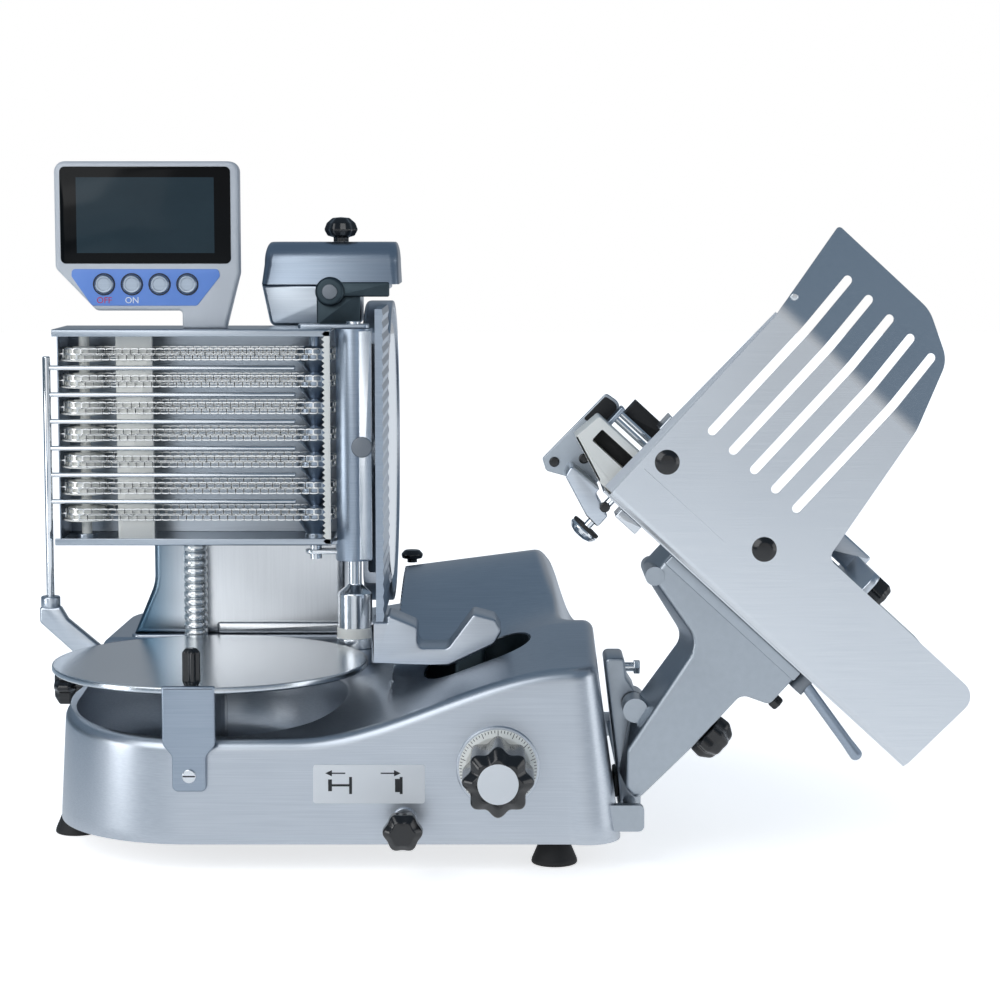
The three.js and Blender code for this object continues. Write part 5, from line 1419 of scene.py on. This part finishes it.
# %% [markdown]
# The product holder grips the end of a sausage with a toothed jaw. It is a pale frame on two bright rods, and
# it slides along the tray. A bracket on the end of the tray carries the clevis of the mushroom knob that
# locks it.

# %% Jaw and rods
HOLDER_FRONT, HOLDER_BACK, TEETH = -132.0, -72.0, 13
WINDOW = (-231, 181, -158, 197)
SEAT = FLOOR + 0.3
share = np.arange(2 * TEETH + 1) / (2 * TEETH)
depth = 1.6 * (np.arange(2 * TEETH + 1) % 2)
teeth = [(-246 + 50 * t + 0.34 * d, 172 - 18 * t + 0.94 * d, 0.2) for t, d in zip(share, depth)]
jaw_outline = teeth + [(-137, SEAT, 0.6), (-137, 196, 3), (-150, 205, 3), (-242, 205, 3)]
jaw_shape = tilted(plate(jaw_outline, HOLDER_FRONT, HOLDER_BACK, 1))
jaw = make("holder_jaw", jaw_shape, NYLON, "holder", "product_holder")
trimmed(jaw, tilted(plate(rectangle(*WINDOW, 2), HOLDER_FRONT - 20, HOLDER_FRONT + 40, 0.3)))
core = brick(-230.5, -158.5, HOLDER_FRONT + 30, HOLDER_FRONT + 39, 181.5, 196.5, 0.5)
make("holder_core", tilted(core), RUBBER, "holder")
rods = [tube([[-226, y, v], [-150, y, v]], 3.2, 24) for y, v in ((-96, 213.5), (-88, 221.0))]
make("holder_rods", tilted(together(*rods)), MIRROR, "holder")
cheeks = [plate(rectangle(u0, 203, u1, 228, 2), -102, -74, 1) for u0, u1 in ((-229, -224), (-156, -149))]
make("holder_yoke", tilted(together(*cheeks)), SHADED_SHEET, "holder")
make("holder_pad", tilted(brick(-219, -150, -70, -38, 222.5, 242, 1.2)), RUBBER, "holder")
print("teeth of the jaw:", TEETH)

# %% Tray end bracket and pull knob
PULL_AT = (-171, -110, 0)
end_plate = plate([(-251, 128, 3), (-248, 226, 4), (-226, 229, 10), (-222, 192, 6), (-190, 154, 4),
                   (-190, 146, 2), (-239, 121, 5)], -62, -56, 1)
make("tray_end_bracket", tilted(end_plate), ARM, "carriage")
link = plate([(-228, 147, 4), (-225, 134, 4), (-180, 118, 4), (-163, 117, 3), (-163, 133, 3), (-189, 142, 5),
              (-189, 149, 2)], -120, -56, 2)
make("tray_end_link", tilted(link), COVERS, "carriage")
pad = plate([(-247.4, 189, 2), (-246.4, 223, 3), (-228, 226, 8), (-225, 196, 4)], -63.2, -61, 0.5)
make("tray_end_pad", tilted(pad), RUBBER, "carriage")
heads = [boss(5.5, start, end, "y", (u, 0, v), segments=32)
         for u, v, start, end in ((-239, 134, -61, -65), (-218, 158, -61, -65), (-172, 138, -119, -124))]
make("tray_end_screws", tilted(together(*heads)), BLACK, "carriage")
make("tray_runner", tilted(brick(-160, -132, -146, -104, 139.5, 149.6, 1)), SHEET, "carriage")
make("tray_tab", tilted(brick(-188.6, -185.8, -146, -96, 238, 256, 0.8)), SHEET, "carriage")
pull = spun([(0, 149.4), (4.5, 149.4), (4.5, 107, 0.5), (15.5, 107, 0.5), (17, 104, 2), (13, 99, 5),
             (7, 97, 2), (0, 97)], "z", PULL_AT)
make("pull_knob_chrome", tilted(pull), MIRROR, "pull_knob", "holder_pull_knob")
washer = spun([(0, 110), (16.5, 110, 0.6), (16.5, 106.6, 0.6), (0, 106.6)], "z", PULL_AT)
make("pull_knob_washer", tilted(washer), RUBBER, "pull_knob")
print("screws on the tray's end:", len(heads))

# %% [markdown]
# At the other end of the tray a fence with a black knob pushes the meat. The lever behind it frees the
# carriage, and the lobed knob on the arm clamps the tilt.

# %% Pusher and lever
PUSHER_U, PUSHER_TOP = 84.0, 280.0
fence = plate(rectangle(-138, SEAT, 50, PUSHER_TOP, 12), PUSHER_U, PUSHER_U + 8, 2, side_view)
block = brick(PUSHER_U - 32, PUSHER_U + 14, 8, 48, PUSHER_TOP - 20, PUSHER_TOP + 8, 3)
make("pusher_fence", tilted(together(fence, block)), COVERS, "pusher", "product_pusher")
grip = spun([(0, 97), (9, 97), (9, 103, 1), (17, 107, 3), (17, 137, 4), (13, 143, 3), (0, 143)],
            "x", (0, 30, PUSHER_TOP - 16), 120, lobes=6, dip=2.5)
make("pusher_grip", tilted(grip), BLACK, "pusher")
HUB_U, HUB_Y, HUB_TOP, LEVER_FALL = 109, -120, ARM_TOP - 0.3, 0.2
hub = boss(9, HUB_TOP - 18, HUB_TOP, "z", (HUB_U, HUB_Y, 0))
make("lever_hub", tilted(hub), INNER, "lever", "release_lever")
ROUND_START, ROUND_LENGTH = 98, 6
reach = np.concatenate([np.linspace(0, 97, 16), np.linspace(ROUND_START, ROUND_START + ROUND_LENGTH, 10)])
lever_path = np.stack([HUB_U + reach * math.cos(LEVER_FALL), HUB_Y + 0 * reach,
                       HUB_TOP - 6 - reach * math.sin(LEVER_FALL)], axis=-1)
past = np.clip(reach - ROUND_START, 0, None) / (ROUND_LENGTH + 0.1)
lever_end = np.sqrt(np.clip(1 - past ** 2, 0.03, 1))
lever = tube(lever_path, (6 + 0.7 * smooth(80, 96, reach)) * lever_end, 24)
make("lever_rod", tilted(lever), SHADED_SHEET, "lever")
print("length of the lever:", reach[-1])

# %% Arm knob and stops
knob = spun([(0, 68.3), (14, 68.3), (24, 72, 3), (25, 84, 8), (17, 96, 8), (0, 98.3)],
            "x", (0, -110, 33), 120, lobes=7, dip=4)
make("arm_knob_grip", tilted(knob), BLACK, "arm_knob", "arm_knob")
stud = spun([(0, 96), (5, 96), (5, 101, 0.5), (8, 101, 1), (8, 110, 3), (0, 111)],
            "x", (0, -110, 107), lobes=6, dip=1)
make("arm_stop_stud", tilted(stud), BLACK, "carriage")
rear_stop = spun([(0, 266), (6, 266), (6, 270, 1), (12, 271, 2), (13.5, 276, 3), (9, 281, 4), (0, 282)],
                 "z", (-107, 300, 0))
make("rear_stop_knob", rear_stop, BLACK, "base")
print("carriage is dressed")
